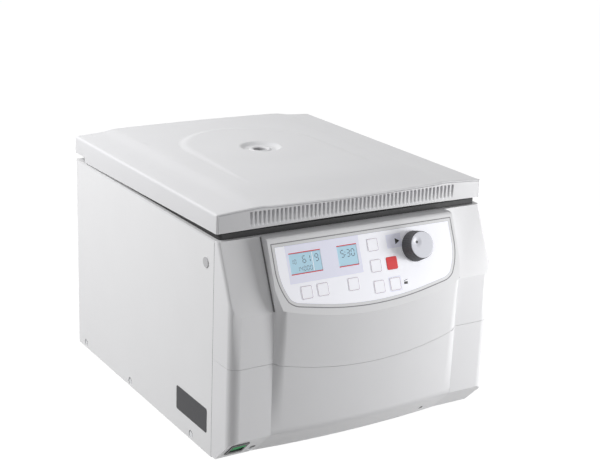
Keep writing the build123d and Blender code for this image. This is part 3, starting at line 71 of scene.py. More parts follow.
# ---------------------------------------------------------------------- finishes
class Grain(Enum):
    """How the skin of a finish is broken up."""

    POWDER_COAT = "powder coat"
    MOULD_TEXTURE = "mould texture"
    BRUSHED = "brushed"
    CAST = "cast"
    POLISHED = "polished"


class Sheet:
    """The node tree of a material or a world, with short calls to add and join nodes."""

    def __init__(self, owner: bpy.types.Material | bpy.types.World) -> None:
        """Clear the owner's nodes and add its output.

        Args:
            owner: Material or world that the nodes belong to.
        """
        owner.use_nodes = True
        self.owner = owner
        self.tree = owner.node_tree
        self.tree.nodes.clear()
        kind = "World" if isinstance(owner, bpy.types.World) else "Material"
        self.output = self.add(f"ShaderNodeOutput{kind}").inputs["Surface"]

    def add(self, kind: str, **sockets: object) -> bpy.types.Node:
        """Add a node.

        Args:
            kind: Blender's name of the node type.
            **sockets: Values for its input sockets, with spaces written as underscores.

        Returns:
            The new node.
        """
        node = self.tree.nodes.new(kind)
        for key, value in sockets.items():
            node.inputs[key.replace("_", " ")].default_value = value
        return node

    def join(self, start: Socket, end: Socket) -> None:
        """Link an output socket to an input socket."""
        self.tree.links.new(start, end)

    def noise(self, size_mm: float, detail: float = 2.0, stretch: Colour = (1.0, 1.0, 1.0)) -> Socket:
        """Noise on the piece's own coordinates.

        Args:
            size_mm: Size of one blotch or grain.
            detail: Octaves of finer noise.
            stretch: Factor on each axis, below one for a longer grain there.

        Returns:
            The socket that gives the noise from 0 to 1.
        """
        mapping = self.add("ShaderNodeMapping", Scale=stretch)
        self.join(self.add("ShaderNodeTexCoord").outputs["Object"], mapping.inputs["Vector"])
        node = self.add("ShaderNodeTexNoise", Scale=1.0 / (size_mm * MM), Detail=detail, Roughness=0.5)
        self.join(mapping.outputs["Vector"], node.inputs["Vector"])
        return node.outputs["Fac"]

    def spread(self, source: Socket, low: float, high: float) -> Socket:
        """Map the middle of a noise onto a range.

        Args:
            source: Socket that gives 0 to 1.
            low: Result at the low end.
            high: Result at the high end.

        Returns:
            The mapped socket.
        """
        node = self.add("ShaderNodeMapRange", From_Min=0.3, From_Max=0.7, To_Min=low, To_Max=high)
        self.join(source, node.inputs["Value"])
        return node.outputs["Result"]

    def greater(self, first: Socket, second: Socket) -> Socket:
        """The greater of two values.

        Args:
            first: Socket of one value.
            second: Socket of the other.

        Returns:
            The socket that gives the greater one.
        """
        node = self.add("ShaderNodeMath")
        node.operation = "MAXIMUM"
        self.join(first, node.inputs[0])
        self.join(second, node.inputs[1])
        return node.outputs[0]

    def seen_directly(self) -> Socket:
        """Tell rays from the camera, a reflection or glass from the rest.

        Returns:
            The socket that gives 1 for them and 0 for the rest.
        """
        rays = self.add("ShaderNodeLightPath").outputs
        plain = self.greater(rays["Is Camera Ray"], rays["Is Glossy Ray"])
        return self.greater(plain, rays["Is Transmission Ray"])

    def blend(self, share: Socket, first: Socket, second: Socket) -> None:
        """Show a mix of two shaders.

        Args:
            share: Socket that gives the second one's share.
            first: The first shader.
            second: The second shader.
        """
        node = self.add("ShaderNodeMixShader")
        for start, end in zip((share, first, second), node.inputs):
            self.join(start, end)
        self.join(node.outputs["Shader"], self.output)


@dataclass(frozen=True)
class Finish:
    """A surface finish with its colour, gloss and grain."""

    name: str
    colour: Colour
    roughness: float = 0.45
    metallic: float = 0.0
    coat: float = 0.0
    # glow: light given off in the finish's own colour; painted light on surfaces that are no lamp
    glow: float = 0.0
    grain: Grain = Grain.MOULD_TEXTURE
    grain_mm: float = 0.8
    depth: float = 0.12
    mottle: float = 0.02
    mottle_mm: float = 60.0
    gloss_spread: float = 0.1
    bump_share: float = 0.3
    brushed: Colour = (0.04, 1.0, 1.0)

    @cache
    def material(self) -> bpy.types.Material:
        """Build the node material the first time it is asked for.

        Returns:
            The material.
        """
        sheet = Sheet(bpy.data.materials.new(f"{self.name}_finish"))
        shader = sheet.add(
            "ShaderNodeBsdfPrincipled", Metallic=self.metallic, Coat_Weight=self.coat,
            Emission_Color=(*self.colour, 1.0), Emission_Strength=self.glow,
        )
        tint = sheet.add("ShaderNodeMix")
        tint.data_type = "RGBA"
        factor, dark, light = (tint.inputs[index] for index in (0, 6, 7))
        dark.default_value = (*(channel * (1.0 - self.mottle) for channel in self.colour), 1.0)
        light.default_value = (*(min(1.0, channel * (1.0 + self.mottle)) for channel in self.colour), 1.0)
        sheet.join(sheet.noise(self.mottle_mm, 3.0), factor)
        sheet.join(tint.outputs[2], shader.inputs["Base Color"])
        stretch = self.brushed if self.grain is Grain.BRUSHED else (1.0, 1.0, 1.0)
        grain = sheet.noise(self.grain_mm, 2.0, stretch)
        low = self.roughness * (1.0 - self.gloss_spread)
        high = min(1.0, self.roughness * (1.0 + self.gloss_spread))
        sheet.join(sheet.spread(grain, low, high), shader.inputs["Roughness"])
        if self.grain is not Grain.POLISHED:
            distance = self.grain_mm * MM * self.bump_share
            bump = sheet.add("ShaderNodeBump", Strength=self.depth, Distance=distance)
            sheet.join(grain, bump.inputs["Height"])
            sheet.join(bump.outputs["Normal"], shader.inputs["Normal"])
        sheet.join(shader.outputs["BSDF"], sheet.output)
        return sheet.owner


@dataclass(frozen=True)
class ClearFinish:
    """A clear see-through finish."""

    name: str
    colour: Colour
    roughness: float = 0.05
    haze: float = 1.6
    haze_mm: float = 15.0
    ior: float = 1.49

    @cache
    def material(self) -> bpy.types.Material:
        """Build the node material the first time it is asked for.

        Returns:
            The material.
        """
        sheet = Sheet(bpy.data.materials.new(f"{self.name}_finish"))
        shader = sheet.add(
            "ShaderNodeBsdfPrincipled", Transmission_Weight=1.0, IOR=self.ior, Base_Color=(*self.colour, 1.0)
        )
        haze = sheet.spread(sheet.noise(self.haze_mm), self.roughness, self.roughness * self.haze)
        sheet.join(haze, shader.inputs["Roughness"])
        sheet.join(shader.outputs["BSDF"], sheet.output)
        return sheet.owner


POWDER = {"grain": Grain.POWDER_COAT, "grain_mm": 1.6}
MOULDED = {"grain_mm": 0.5, "depth": 0.08}
FILM = {"grain_mm": 0.35, "depth": 0.05}
FOIL = {**FILM, "coat": 0.2, "mottle": 0.01}
METAL = {"metallic": 1.0, "grain": Grain.BRUSHED}

# Darker copy of the lid's white plastic for the vent bezel: painted shade on the bezel's front face.
BEZEL_SHADED_WHITE = Finish("bezel_shaded_white_plastic", (0.6, 0.6, 0.615), 0.4, **MOULDED)
# Printed pale tint; its glow is painted light.
TINT = Finish("panel_tint", (0.8, 0.805, 0.93), 0.3, glow=0.12, **FOIL)
KEY_LINE = Finish("key_line", (0.42, 0.3, 0.31), 0.4, **FILM)
EDGE_LINE = Finish("edge_line", (0.58, 0.58, 0.61), 0.4, **FILM)
# Dark grey of a flat ring round the control overlay: painted shade of a groove that is not modelled.
PAINTED_GROOVE_SHADE = Finish("shadow_groove", (0.24, 0.24, 0.25), 0.6, **FILM)
# Dark grey strips that paint the shade in the pod's creases and in the seams to the side panels.
SEAM_AND_CREASE_SHADE = Finish("seam_shadow", (0.17, 0.17, 0.175), 0.6, **FILM)
DIGIT_GREY = Finish("digit_grey", (0.13, 0.19, 0.27), 0.35, **FILM)
KNOB_FACE = Finish("knob_face", (0.72, 0.73, 0.79), 0.42, grain_mm=0.4, depth=0.04)
# Black of the rating plate, also used for thin discs of painted shade in the screw wells' mouths.
PLATE_BLACK_AND_WELL_SHADE = Finish("plate_black_and_well_shade", (0.022, 0.022, 0.026), 0.5, grain_mm=0.5, depth=0.05)

SLOT_FINISH = {
    "panel_steel": Finish("panel_white_powder", (0.78, 0.78, 0.79), 0.4, **POWDER),
    "deck_steel": Finish("deck_white_powder", (0.72, 0.72, 0.73), 0.42, **POWDER),
    "shell_plastic": Finish("case_white_plastic", (0.755, 0.755, 0.77), 0.34, **MOULDED),
    "lid_plastic": Finish("lid_white_plastic", (0.69, 0.69, 0.705), 0.36, **MOULDED),
    # The overlay and key foils' glow is painted light that brightens the pale foil.
    "overlay_foil": Finish("control_foil", (0.93, 0.935, 0.99), 0.3, glow=0.14, **FOIL),
    "key_foil": Finish("key_foil", (0.93, 0.935, 0.99), 0.3, glow=0.14, **FOIL),
    "stop_red": Finish("stop_key_red", (0.78, 0.03, 0.035), 0.32, **FILM),
    # The display's glow is painted light that brightens the LCD.
    "display_glass": Finish(
        "display_glass", (0.48, 0.73, 0.87), 0.15, glow=0.1, grain=Grain.POLISHED, coat=0.6
    ),
    "circuit_board": Finish(
        "circuit_board", (0.02, 0.12, 0.05), 0.4, grain=Grain.POLISHED, mottle=0.2, mottle_mm=4.0
    ),
    "knob_grey": Finish("knob_grey", (0.075, 0.075, 0.08), 0.45, grain_mm=0.4),
    "black_plastic": Finish("black_plastic", (0.02, 0.02, 0.021), 0.42, grain_mm=0.6),
    "switch_green": Finish("switch_green", (0.06, 0.42, 0.15), 0.3, grain=Grain.POLISHED, coat=0.2),
    "zinc_steel": Finish("zinc_steel", (0.62, 0.63, 0.64), 0.32, grain_mm=0.6, **METAL),
    "stainless": Finish("stainless_steel", (0.6, 0.6, 0.59), 0.25, grain_mm=0.5, **METAL),
    "motor_iron": Finish(
        "motor_iron", (0.05, 0.055, 0.06), 0.5, 0.3, grain=Grain.CAST, grain_mm=1.5, depth=0.4
    ),
    "rubber_black": Finish("rubber_black", (0.025, 0.025, 0.026), 0.7, grain_mm=1.0, depth=0.2),
    "aluminium": Finish("anodised_aluminium", (0.55, 0.55, 0.56), 0.35, 1.0, grain=Grain.CAST, grain_mm=0.3),
    "clear_glass": ClearFinish("clear_glass", (0.95, 0.97, 0.97)),
    "chamber_plastic": Finish("chamber_plastic", (0.86, 0.85, 0.8), 0.35, grain_mm=0.6),
}
NODE_FINISH = {"release_pull": Finish("plug_grey", (0.5, 0.5, 0.51), 0.42, **MOULDED)}


def dress_frame() -> None:
    """Give every construction node the finish of its material slot."""
    for row in frame["record"]["subparts"]:
        node = frame["nodes"][row["node"]]
        finish = NODE_FINISH.get(row["node"], SLOT_FINISH[row["material_slot"]]).material()
        for slot in node.material_slots:
            slot.material = finish
        LOG.info("dressed %s as %s", row["node"], finish.name)


# ---------------------------------------------------------------------- mesh tools
def smooth_step(value: float) -> float:
    """Ease from 0 to 1 with level ends, held at 0 below and at 1 above."""
    share = min(1.0, max(0.0, value))
    return share * share * (3.0 - 2.0 * share)


def mix(low: float, high: float, share: float) -> float:
    """Value that lies the given share of the way from low to high."""
    return low + (high - low) * share


def profile(points: Sequence[Flat], at: float) -> float:
    """Read a smooth line that passes through points and never swings past them.

    Args:
        points: Rising places, each with its value.
        at: Place to read.

    Returns:
        The value there, held level beyond both ends.
    """
    if at <= points[0][0]:
        return points[0][1]
    if at >= points[-1][0]:
        return points[-1][1]
    steps = [(b[1] - a[1]) / (b[0] - a[0]) for a, b in zip(points, points[1:])]
    slopes = [steps[0]]
    for before, after in zip(steps, steps[1:]):
        slopes.append(2.0 * before * after / (before + after) if before * after > 0 else 0.0)
    slopes.append(steps[-1])
    index = next(i for i in range(len(steps)) if at <= points[i + 1][0])
    (x0, y0), (x1, y1) = points[index], points[index + 1]
    width = x1 - x0
    t = (at - x0) / width
    bend = t * (1 - t) * width * (slopes[index] * (1 - t) - slopes[index + 1] * t)
    return mix(y0, y1, t * t * (3 - 2 * t)) + bend


def spaced(low: float, high: float, step: float) -> list[float]:
    """Evenly spaced values from low up to high, at most a step apart, without the last one."""
    count = max(1, math.ceil((high - low) / step))
    return [mix(low, high, index / count) for index in range(count)]


def box(left: float, low: float, right: float, high: float) -> list[Flat]:
    """Corners of a box, counter-clockwise."""
    return [(left, low), (right, low), (right, high), (left, high)]


def rounded_box(u: float, v: float, half_u: float, half_v: float, corner: float, steps: int) -> list[Vector]:
    """Outline of a box with round corners, counter-clockwise.

    Args:
        u: Centre across.
        v: Centre up.
        half_u: Half its width.
        half_v: Half its height.
        corner: Radius of its corners.
        steps: Sides to each corner.

    Returns:
        Its corners.
    """
    points = []
    for quarter, (side_u, side_v) in enumerate(((1, 1), (-1, 1), (-1, -1), (1, -1))):
        middle = Vector((u + side_u * (half_u - corner), v + side_v * (half_v - corner)))
        for step in range(steps + 1):
            angle = math.pi / 2 * (quarter + step / steps)
            points.append(middle + corner * Vector((math.cos(angle), math.sin(angle))))
    return points


def grown(outline: Sequence[Vector], distance: float) -> list[Vector]:
    """Move a convex outline outwards by a distance, or inwards if it is negative.

    Args:
        outline: Corners in order, counter-clockwise.
        distance: How far each side moves.

    Returns:
        The moved corners.
    """
    moved = []
    for before, here, after in zip([outline[-1], *outline], outline, [*outline[1:], outline[0]]):
        first, second = (here - before).normalized(), (after - here).normalized()
        out = Vector((first.y + second.y, -first.x - second.x)).normalized()
        lean = max(0.5, out.dot(Vector((first.y, -first.x))))  # held, or a sharp corner shoots out
        moved.append(here + out * (distance / lean))
    return moved


def axes(across: Way, up: Way, out: Way, origin: Way) -> Matrix:
    """Turn a frame's three directions and its origin into a matrix.

    Args:
        across: Direction of its first axis.
        up: Direction of its second axis.
        out: Direction of its third axis.
        origin: Where it stands.

    Returns:
        The matrix that leads from the frame into the model.
    """
    place = Matrix((across, up, out)).transposed().to_4x4()
    place.translation = Vector(origin)
    return place


def points_in(geom: Sequence[object]) -> list[Vert]:
    """The points in a mixed list of mesh elements."""
    return [item for item in geom if isinstance(item, Vert)]


class Form:
    """A mesh in the making, in millimetres until it is placed."""

    def __init__(self) -> None:
        """Start empty."""
        self.mesh = bmesh.new()

    def grid(self, columns: Sequence[float], rows: Sequence[float], point: Callable) -> None:
        """Lay a grid and move each of its points.

        Args:
            columns: Places of the grid lines across.
            rows: Places of the grid lines along.
            point: Turns a column and a row place into a point.
        """
        across, along = len(columns) - 1, len(rows) - 1
        made = bmesh.ops.create_grid(self.mesh, x_segments=across, y_segments=along, size=0.5)["verts"]
        for vert in made:
            column, row = round((vert.co.x + 0.5) * across), round((vert.co.y + 0.5) * along)
            vert.co = Vector(point(columns[column], rows[row]))

    def rim(self) -> list[bmesh.types.BMEdge]:
        """The open edges."""
        return [edge for edge in self.mesh.edges if edge.is_boundary]

    def extrude(self, edges: Sequence[bmesh.types.BMEdge], point: Callable) -> None:
        """Extrude open edges and move each new point.

        Args:
            edges: Edges to extrude.
            point: Turns an old point into its new place.
        """
        for vert in points_in(bmesh.ops.extrude_edge_only(self.mesh, edges=list(edges))["geom"]):
            vert.co = Vector(point(vert.co))

    def lathe(self, line: Sequence[Flat], centre: Way, axis: Way, steps: int) -> list[Vert]:
        """Spin a line of radius and height about an axis.

        Args:
            line: Points as radius and height along the axis.
            centre: Foot of the axis.
            axis: Direction of the axis.
            steps: Steps in the full turn.

        Returns:
            The points of the turned form.
        """
        along = Vector(axis).normalized()
        across = along.orthogonal().normalized()
        foot = Vector(centre)
        verts = [self.mesh.verts.new(foot + across * radius + along * height) for radius, height in line]
        edges = [self.mesh.edges.new(pair) for pair in zip(verts, verts[1:])]
        known = set(self.mesh.verts) - set(verts)
        bmesh.ops.spin(
            self.mesh, geom=[*verts, *edges], cent=foot, axis=along, dvec=(0, 0, 0),
            angle=2 * math.pi, steps=steps, use_merge=True,
        )
        made = [vert for vert in self.mesh.verts if vert not in known]
        bmesh.ops.remove_doubles(self.mesh, verts=made, dist=0.001)
        return [vert for vert in self.mesh.verts if vert not in known]

    def raise_faces(self, faces: Sequence[bmesh.types.BMFace], lift: Vector) -> None:
        """Extrude faces along a vector."""
        made = bmesh.ops.extrude_face_region(self.mesh, geom=list(faces))["geom"]
        bmesh.ops.translate(self.mesh, vec=lift, verts=points_in(made))

    def slab(self, outline: Sequence[Flat], low: float, high: float, place: Matrix) -> None:
        """Add a flat plate with a closed outline.

        Args:
            outline: Corners in order.
            low: Height of its underside.
            high: Height of its top.
            place: Turns the plate's own frame into the model's.
        """
        verts = [self.mesh.verts.new(place @ Vector((u, v, low))) for u, v in outline]
        self.raise_faces([self.mesh.faces.new(verts)], place.to_3x3() @ Vector((0, 0, high - low)))

    def hoop(self, loops: Sequence[Sequence[Vector]]) -> None:
        """Skin a closed bar that runs round in a loop.

        Args:
            loops: The loops along its edges, in order round its section.
        """
        rings = [[self.mesh.verts.new(point) for point in loop] for loop in loops]
        for first, second in zip(rings, rings[1:] + rings[:1]):
            for corners in zip(first, first[1:] + first[:1], second[1:] + second[:1], second):
                self.mesh.faces.new(corners)

    def place(
        self, name: str, slot: str, body: str, stands_for: Sequence[str] = (), sharp: float = SOFT,
        finish: Finish | ClearFinish | None = None,
    ) -> bpy.types.Object:
        """Turn the form into a piece of the scene.

        Args:
            name: Name of the piece.
            slot: Material slot of the record it takes its finish from.
            body: Body it rides on.
            stands_for: Construction nodes it replaces.
            sharp: Edges that turn by more degrees than this stay crisp.
            finish: Finish where it isn't the slot's own.

        Returns:
            The new object.
        """
        bmesh.ops.recalc_face_normals(self.mesh, faces=self.mesh.faces)
        bmesh.ops.scale(self.mesh, vec=(MM, MM, MM), verts=self.mesh.verts)
        data = bpy.data.meshes.new(name)
        self.mesh.to_mesh(data)
        self.mesh.free()
        data.polygons.foreach_set("use_smooth", [True] * len(data.polygons))
        data.set_sharp_from_angle(angle=math.radians(sharp))
        data.materials.append((finish or SLOT_FINISH[slot]).material())
        piece = bpy.data.objects.new(name, data)
        bpy.context.collection.objects.link(piece)
        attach(piece, body)
        if stands_for:
            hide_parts(*stands_for)
        LOG.info("built %s with %d faces", name, len(data.polygons))
        return piece


# ---------------------------------------------------------------------- lid
@dataclass(frozen=True)
class LidSizes:
    """Sizes of the lid's moulded cover and of the vent bezel in its front edge."""

    half_width: float = 198.5
    front_y: float = -189.6
    back_y: float = 248.1
    rim_z: float = 302.9
    skirt_z: float = 295.5
    skirt_y: float = 211.0
    wall: float = 2.5
    edge_round: float = 3.6
    front_round: float = 1.6
    front_blend: float = 8.0
    edge_turns: tuple[int, ...] = (15, 30, 45, 60, 75, 90)
    edge_reach: float = 0.5
    step_gap: float = 0.1
    column_step: float = 4.5
    row_step: float = 4.0
    fine_step: float = 3.0
    scoop_y: float = -90.0
    plateau_z: float = 333.9
    plateau_tilt: float = 0.0095
    plateau_radius: float = 105.5
    plateau_centre_y: float = 72.0
    slope_least: float = 1.0
    slope_width: float = 11.0
    slope_start_y: float = -112.0
    slope_run: float = 60.0
    sight_y: float = 54.0
    sight_z: float = 336.2
    crown_radius: float = 95.0
    dish_radius: float = 30.5
    dish_edge: float = 1.5
    dish_wall: float = 9.0
    dish_depth: float = 4.4
    hole_radius: float = 10.0
    hole_drop: float = 2.0
    lip_width: float = 6.0
    lip_rise: float = 1.3
    seat_radius: float = 13.2
    seat_gap: float = 0.05
    seam_lap: float = 0.01
    port_steps: int = 8
    patch: float = 36.0
    notch_x: float = 120.0
    notch_half: float = 20.5
    notch_z: float = 312.0
    bezel_half: float = 196.0
    bezel_gap: float = 0.35
    bezel_back: float = 6.2
    bezel_arch: float = 1.5
    bezel_round: float = 1.2
    bezel_top: float = 0.93
    bezel_turns: tuple[int, ...] = (0, 20, 40, 60, 75, 90)
    share_zones: tuple[float, ...] = (0.0, 0.2, 0.72)
    share_step: float = 0.04
    top_step: float = 0.016
    slots: int = 51
    pitch: float = 6.06
    slot_left: float = 1.6
    slot_right: float = 1.9
    slot_lip: float = 0.25
    slot_floor: float = 0.9
    slot_bottom_z: float = 307.2
    slot_top_z: float = 324.2
    slot_end_rise: float = 0.9
    slot_depth: tuple[float, float] = (1.2, 5.6)
    slot_foot: float = 0.2
    slot_head: float = 0.05
    hood_start: float = 0.3
    hood_run: float = 0.6
    slot_lines: tuple[float, ...] = (
        -0.5, -0.36, -0.264, -0.222, -0.17, -0.11, -0.05, 0.02, 0.09, 0.16, 0.23, 0.3, 0.36,
    )
    back_line: tuple[Flat, ...] = (
        (0.0, 333.9), (60.0, 333.6), (122.0, 332.9), (136.0, 332.5), (161.0, 329.1), (198.5, 326.9),
    )
    front_line: tuple[Flat, ...] = (
        (0.0, 327.3), (50.0, 327.9), (90.0, 328.7), (122.0, 329.5), (137.0, 330.7),
        (157.0, 329.6), (174.0, 328.6), (198.5, 326.9),
    )


class Lid:
    """The hinged lid's cover, with its sight port, and its vent bezel."""

    def __init__(self, sizes: LidSizes) -> None:
        """Keep the sizes of the cover and the bezel."""
        self.sizes = sizes

    def skin_z(self, x: float, y: float) -> float:
        """Height of the cover above a place, before its edges are rounded.

        Args:
            x: Place across the lid.
            y: Place along the lid.

        Returns:
            The height.
        """
        s = self.sizes
        side = abs(x)
        scoop = smooth_step((y - s.scoop_y) / (s.front_y - s.scoop_y))
        base = mix(profile(s.back_line, side), profile(s.front_line, side), scoop)
        reach = side if y < s.plateau_centre_y else math.hypot(side, y - s.plateau_centre_y)
        climb = smooth_step((y - s.slope_start_y) / (s.plateau_centre_y - s.slope_start_y))
        on_top = smooth_step((s.plateau_radius - reach) / (s.slope_width * climb + s.slope_least))
        crown = smooth_step((s.crown_radius - math.hypot(x, y - s.sight_y)) / (s.crown_radius - s.patch))
        top = mix(s.plateau_z + s.plateau_tilt * (y - s.scoop_y), s.sight_z, crown)
        top = mix(base, top, smooth_step((y - s.slope_start_y) / s.slope_run))
        return mix(base, max(base, top), on_top)

    def bezel_z(self, x: float) -> float:
        """Height of the seam between the cover and the bezel."""
        return self.skin_z(x, self.sizes.front_y) - self.sizes.front_round

    def skin(self, x: float, y: float) -> Place:
        """Point of the cover's outside, with its edges rounded over.

        Args:
            x: Place of the grid line across.
            y: Place of the grid line along.

        Returns:
            The point.
        """
        s = self.sizes
        to_front = smooth_step((s.front_y + s.front_blend - y) / s.front_blend)
        radius = mix(s.edge_round, s.front_round, to_front)
        over_x = max(0.0, abs(x) - (s.half_width - radius))
        over_y = max(0.0, s.front_y + radius - y, y - (s.back_y - radius))
        over = math.hypot(over_x, over_y)
        z = self.skin_z(x, y)
        if over <= 0.0:
            return x, y, z
        pull = min(1.0, radius / over)
        x -= math.copysign(over_x * (1.0 - pull), x)
        y += over_y * (1.0 - pull) * (1.0 if y < 0 else -1.0)
        over = min(over, radius)
        return x, y, z - radius + math.sqrt(max(0.0, radius * radius - over * over))

    def edge_lines(self, low: float, high: float) -> list[float]:
        """Grid lines that crowd together over a rounded edge, from low to high and without low."""
        return [mix(low, high, math.sin(math.radians(turn))) for turn in self.sizes.edge_turns]

    def skirt(self, point: Vector) -> Place:
        """Foot of the cover's wall under a point of its rounded edge.

        Args:
            point: The point.

        Returns:
            The place of its foot.
        """
        s = self.sizes
        low = s.rim_z
        if point.y < s.front_y + s.edge_reach and abs(point.x) < s.bezel_half:
            low = self.bezel_z(point.x) - s.seam_lap
        elif abs(point.x) > s.half_width - s.edge_reach and point.y < s.skirt_y:
            low = mix(s.rim_z, s.skirt_z, (point.y - s.front_y) / (s.skirt_y - s.front_y))
        elif point.y > s.back_y - s.edge_reach and abs(abs(point.x) - s.notch_x) < s.notch_half:
            low = s.notch_z
        return point.x, point.y, low

    def cover_lines(self) -> tuple[list[float], list[float]]:
        """Grid lines of the cover, close together where its edge steps.

        Returns:
            The lines across and the lines along.
        """
        s = self.sizes
        inner = s.half_width - s.edge_round
        notch = [s.notch_x - s.notch_half, s.notch_x + s.notch_half]
        right = spaced(0.0, s.patch, s.fine_step) + spaced(s.patch, notch[0], s.column_step)
        right += spaced(notch[0] + s.fine_step, notch[1] - s.fine_step, s.fine_step)
        right += spaced(notch[1] + s.fine_step, inner, s.fine_step) + [inner]
        for step in (*notch, s.bezel_half):
            right += [step - s.step_gap, step + s.step_gap]
        right = sorted(right + self.edge_lines(inner, s.half_width))
        columns = [-x for x in reversed(right[1:])] + right
        front, back = s.front_y + s.front_round, s.back_y - s.edge_round
        low, high = s.sight_y - s.patch, s.sight_y + s.patch
        rows = list(reversed(self.edge_lines(front, s.front_y)))
        rows += spaced(front, low, s.row_step) + spaced(low, high, s.fine_step)
        skirt = [s.skirt_y - s.step_gap, s.skirt_y + s.step_gap]
        rows += spaced(high, skirt[0], s.row_step) + skirt
        rows += spaced(s.skirt_y + s.fine_step, back, s.row_step) + [back]
        return columns, rows + self.edge_lines(back, s.back_y)

    def cover(self) -> None:
        """Build the cover with the dished sight port."""
        s = self.sizes
        form = Form()
        form.grid(*self.cover_lines(), self.skin)
        skirt_edges = form.rim()
        patch = []
        for face in form.mesh.faces:
            middle = face.calc_center_median()
            if max(abs(middle.x), abs(middle.y - s.sight_y)) < s.patch:
                patch.append(face)
        bmesh.ops.delete(form.mesh, geom=patch, context="FACES")
        hole = [edge for edge in form.rim() if edge not in skirt_edges]
        form.extrude([edge for edge in skirt_edges if edge.is_valid], self.skirt)
        line = self.sight_line()
        port = form.lathe(line, (0.0, s.sight_y, s.sight_z), (0, 0, 1), len(hole))
        reach = line[0][0] - s.step_gap
        ring = {vert for vert in port if math.hypot(vert.co.x, vert.co.y - s.sight_y) > reach}
        outer = [edge for edge in form.rim() if edge.verts[0] in ring and edge.verts[1] in ring]
        bmesh.ops.bridge_loops(form.mesh, edges=[*hole, *outer])
        bmesh.ops.recalc_face_normals(form.mesh, faces=form.mesh.faces)
        bmesh.ops.solidify(form.mesh, geom=form.mesh.faces[:], thickness=s.wall)
        form.place("lid_cover", "lid_plastic", "lid", ["lid_shell"])

    def sight_line(self) -> list[Flat]:
        """Line of the sight port from the plateau down its bore to the glass.

        Returns:
            Points as radius and height under the plateau.
        """
        s = self.sizes
        shares = [step / s.port_steps for step in range(s.port_steps + 1)]
        line = [(s.dish_radius + s.dish_edge, 0.0)]
        for share in shares:
            line.append((s.dish_radius - s.dish_wall * share, -s.dish_depth * smooth_step(share)))
        for share in shares:
            height = s.lip_rise * math.sin(math.pi * share) - s.dish_depth
            line.append((s.hole_radius + s.lip_width * (1 - share), height))
        glass_low, glass_top = (corner[2] / MM - s.sight_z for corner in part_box("sight_glass"))
        glass_top += s.seat_gap
        line += [(s.hole_radius, -s.dish_depth - s.hole_drop), (s.hole_radius, glass_top)]
        return line + [(s.seat_radius, glass_top), (s.seat_radius, glass_low)]

    def bezel(self) -> None:
        """Build the bezel with its row of hooded vent flutes."""
        s = self.sizes
        form = Form()
        half_row = s.pitch * s.slots / 2
        columns = [(slot - (s.slots - 1) / 2 + u) * s.pitch for slot in range(s.slots) for u in s.slot_lines]
        rest = spaced(half_row, s.bezel_half, s.row_step)[1:] + [s.bezel_half]
        columns = [-x for x in reversed(rest)] + columns + [half_row] + rest
        foot, middle, head = s.share_zones
        rows = spaced(foot, middle, s.share_step) + spaced(middle, head, s.share_step)
        rows += spaced(head, s.bezel_top, s.top_step)
        rows += [mix(s.bezel_top, 1.0, math.sin(math.radians(turn))) for turn in s.bezel_turns]

        def point(x: float, share: float) -> Place:
            """Point of the bezel's face at a share of its height."""
            low = s.rim_z + s.bezel_arch * (1.0 - (x / s.bezel_half) ** 2)
            z = mix(low, self.bezel_z(x) - s.bezel_gap, share)
            over = max(0.0, (share - s.bezel_top) / (1.0 - s.bezel_top))
            y = s.front_y + s.bezel_round * (1.0 - math.sqrt(max(0.0, 1.0 - over * over)))
            inner = s.bezel_half - s.bezel_gap
            return max(-inner, min(inner, x)), y + self.flute(x, z), z

        form.grid(columns, rows, point)
        form.extrude(form.rim(), lambda old: (old.x, s.front_y + s.bezel_back, old.z))
        bmesh.ops.edgeloop_fill(form.mesh, edges=form.rim())
        # the bezel takes the darker copy of the lid plastic: painted shade
        form.place("lid_bezel", "lid_plastic", "lid", ["lid_grille"], sharp=CRISP, finish=BEZEL_SHADED_WHITE)

    def flute(self, x: float, z: float) -> float:
        """Depth of the vent flutes at a place on the bezel.

        Args:
            x: Place across.
            z: Height.

        Returns:
            How far the face lies behind its front.
        """
        s = self.sizes
        slot = round((x - (s.slot_right - s.slot_left) / 2) / s.pitch)
        centre = slot * s.pitch
        top = s.slot_top_z + s.slot_end_rise * (centre / (s.pitch * s.slots / 2)) ** 2
        up = (z - s.slot_bottom_z) / (top - s.slot_bottom_z)
        from_left = x - centre + s.slot_left
        width = s.slot_left + s.slot_right
        if abs(slot) > (s.slots - 1) / 2 or not (0.0 <= up <= 1.0 and 0.0 <= from_left <= width):
            return 0.0
        slope = 1.0 - smooth_step((from_left - s.slot_floor) / (width - s.slot_floor))
        across = min(1.0, from_left / s.slot_lip) * slope
        ends = smooth_step(up / s.slot_foot) * min(1.0, (1.0 - up) / s.slot_head)
        return across * ends * mix(*s.slot_depth, smooth_step((up - s.hood_start) / s.hood_run))

    def build(self) -> None:
        """Build both pieces."""
        self.cover()
        self.bezel()


# ---------------------------------------------------------------------- control panel
class Segment(Enum):
    """Bars of a seven-segment digit: centre across and up in shares of its height, and whether it lies."""

    TOP = (0.0, 0.5, True)
    UPPER_RIGHT = (0.25, 0.25, False)
    LOWER_RIGHT = (0.25, -0.25, False)
    BOTTOM = (0.0, -0.5, True)
    LOWER_LEFT = (-0.25, -0.25, False)
    UPPER_LEFT = (-0.25, 0.25, False)
    MIDDLE = (0.0, 0.0, True)


DIGIT_BARS = {
    "0": "TOP UPPER_RIGHT LOWER_RIGHT BOTTOM LOWER_LEFT UPPER_LEFT",
    "1": "UPPER_RIGHT LOWER_RIGHT",
    "3": "TOP UPPER_RIGHT MIDDLE LOWER_RIGHT BOTTOM",
    "4": "UPPER_LEFT UPPER_RIGHT MIDDLE LOWER_RIGHT",
    "5": "TOP UPPER_LEFT MIDDLE LOWER_RIGHT BOTTOM",
    "6": "TOP UPPER_LEFT LOWER_LEFT MIDDLE LOWER_RIGHT BOTTOM",
    "9": "TOP UPPER_LEFT UPPER_RIGHT MIDDLE LOWER_RIGHT BOTTOM",
}
WHITE_KEYS = ("recall", "store", "time", "short_spin", "acceleration", "brake", "lid_open")


@dataclass(frozen=True)
class Reading:
    """A row of digits: its text, the centre of its first digit, its height and its pitch."""

    text: str
    u: float
    v: float
    height: float
    pitch: float = 0.0


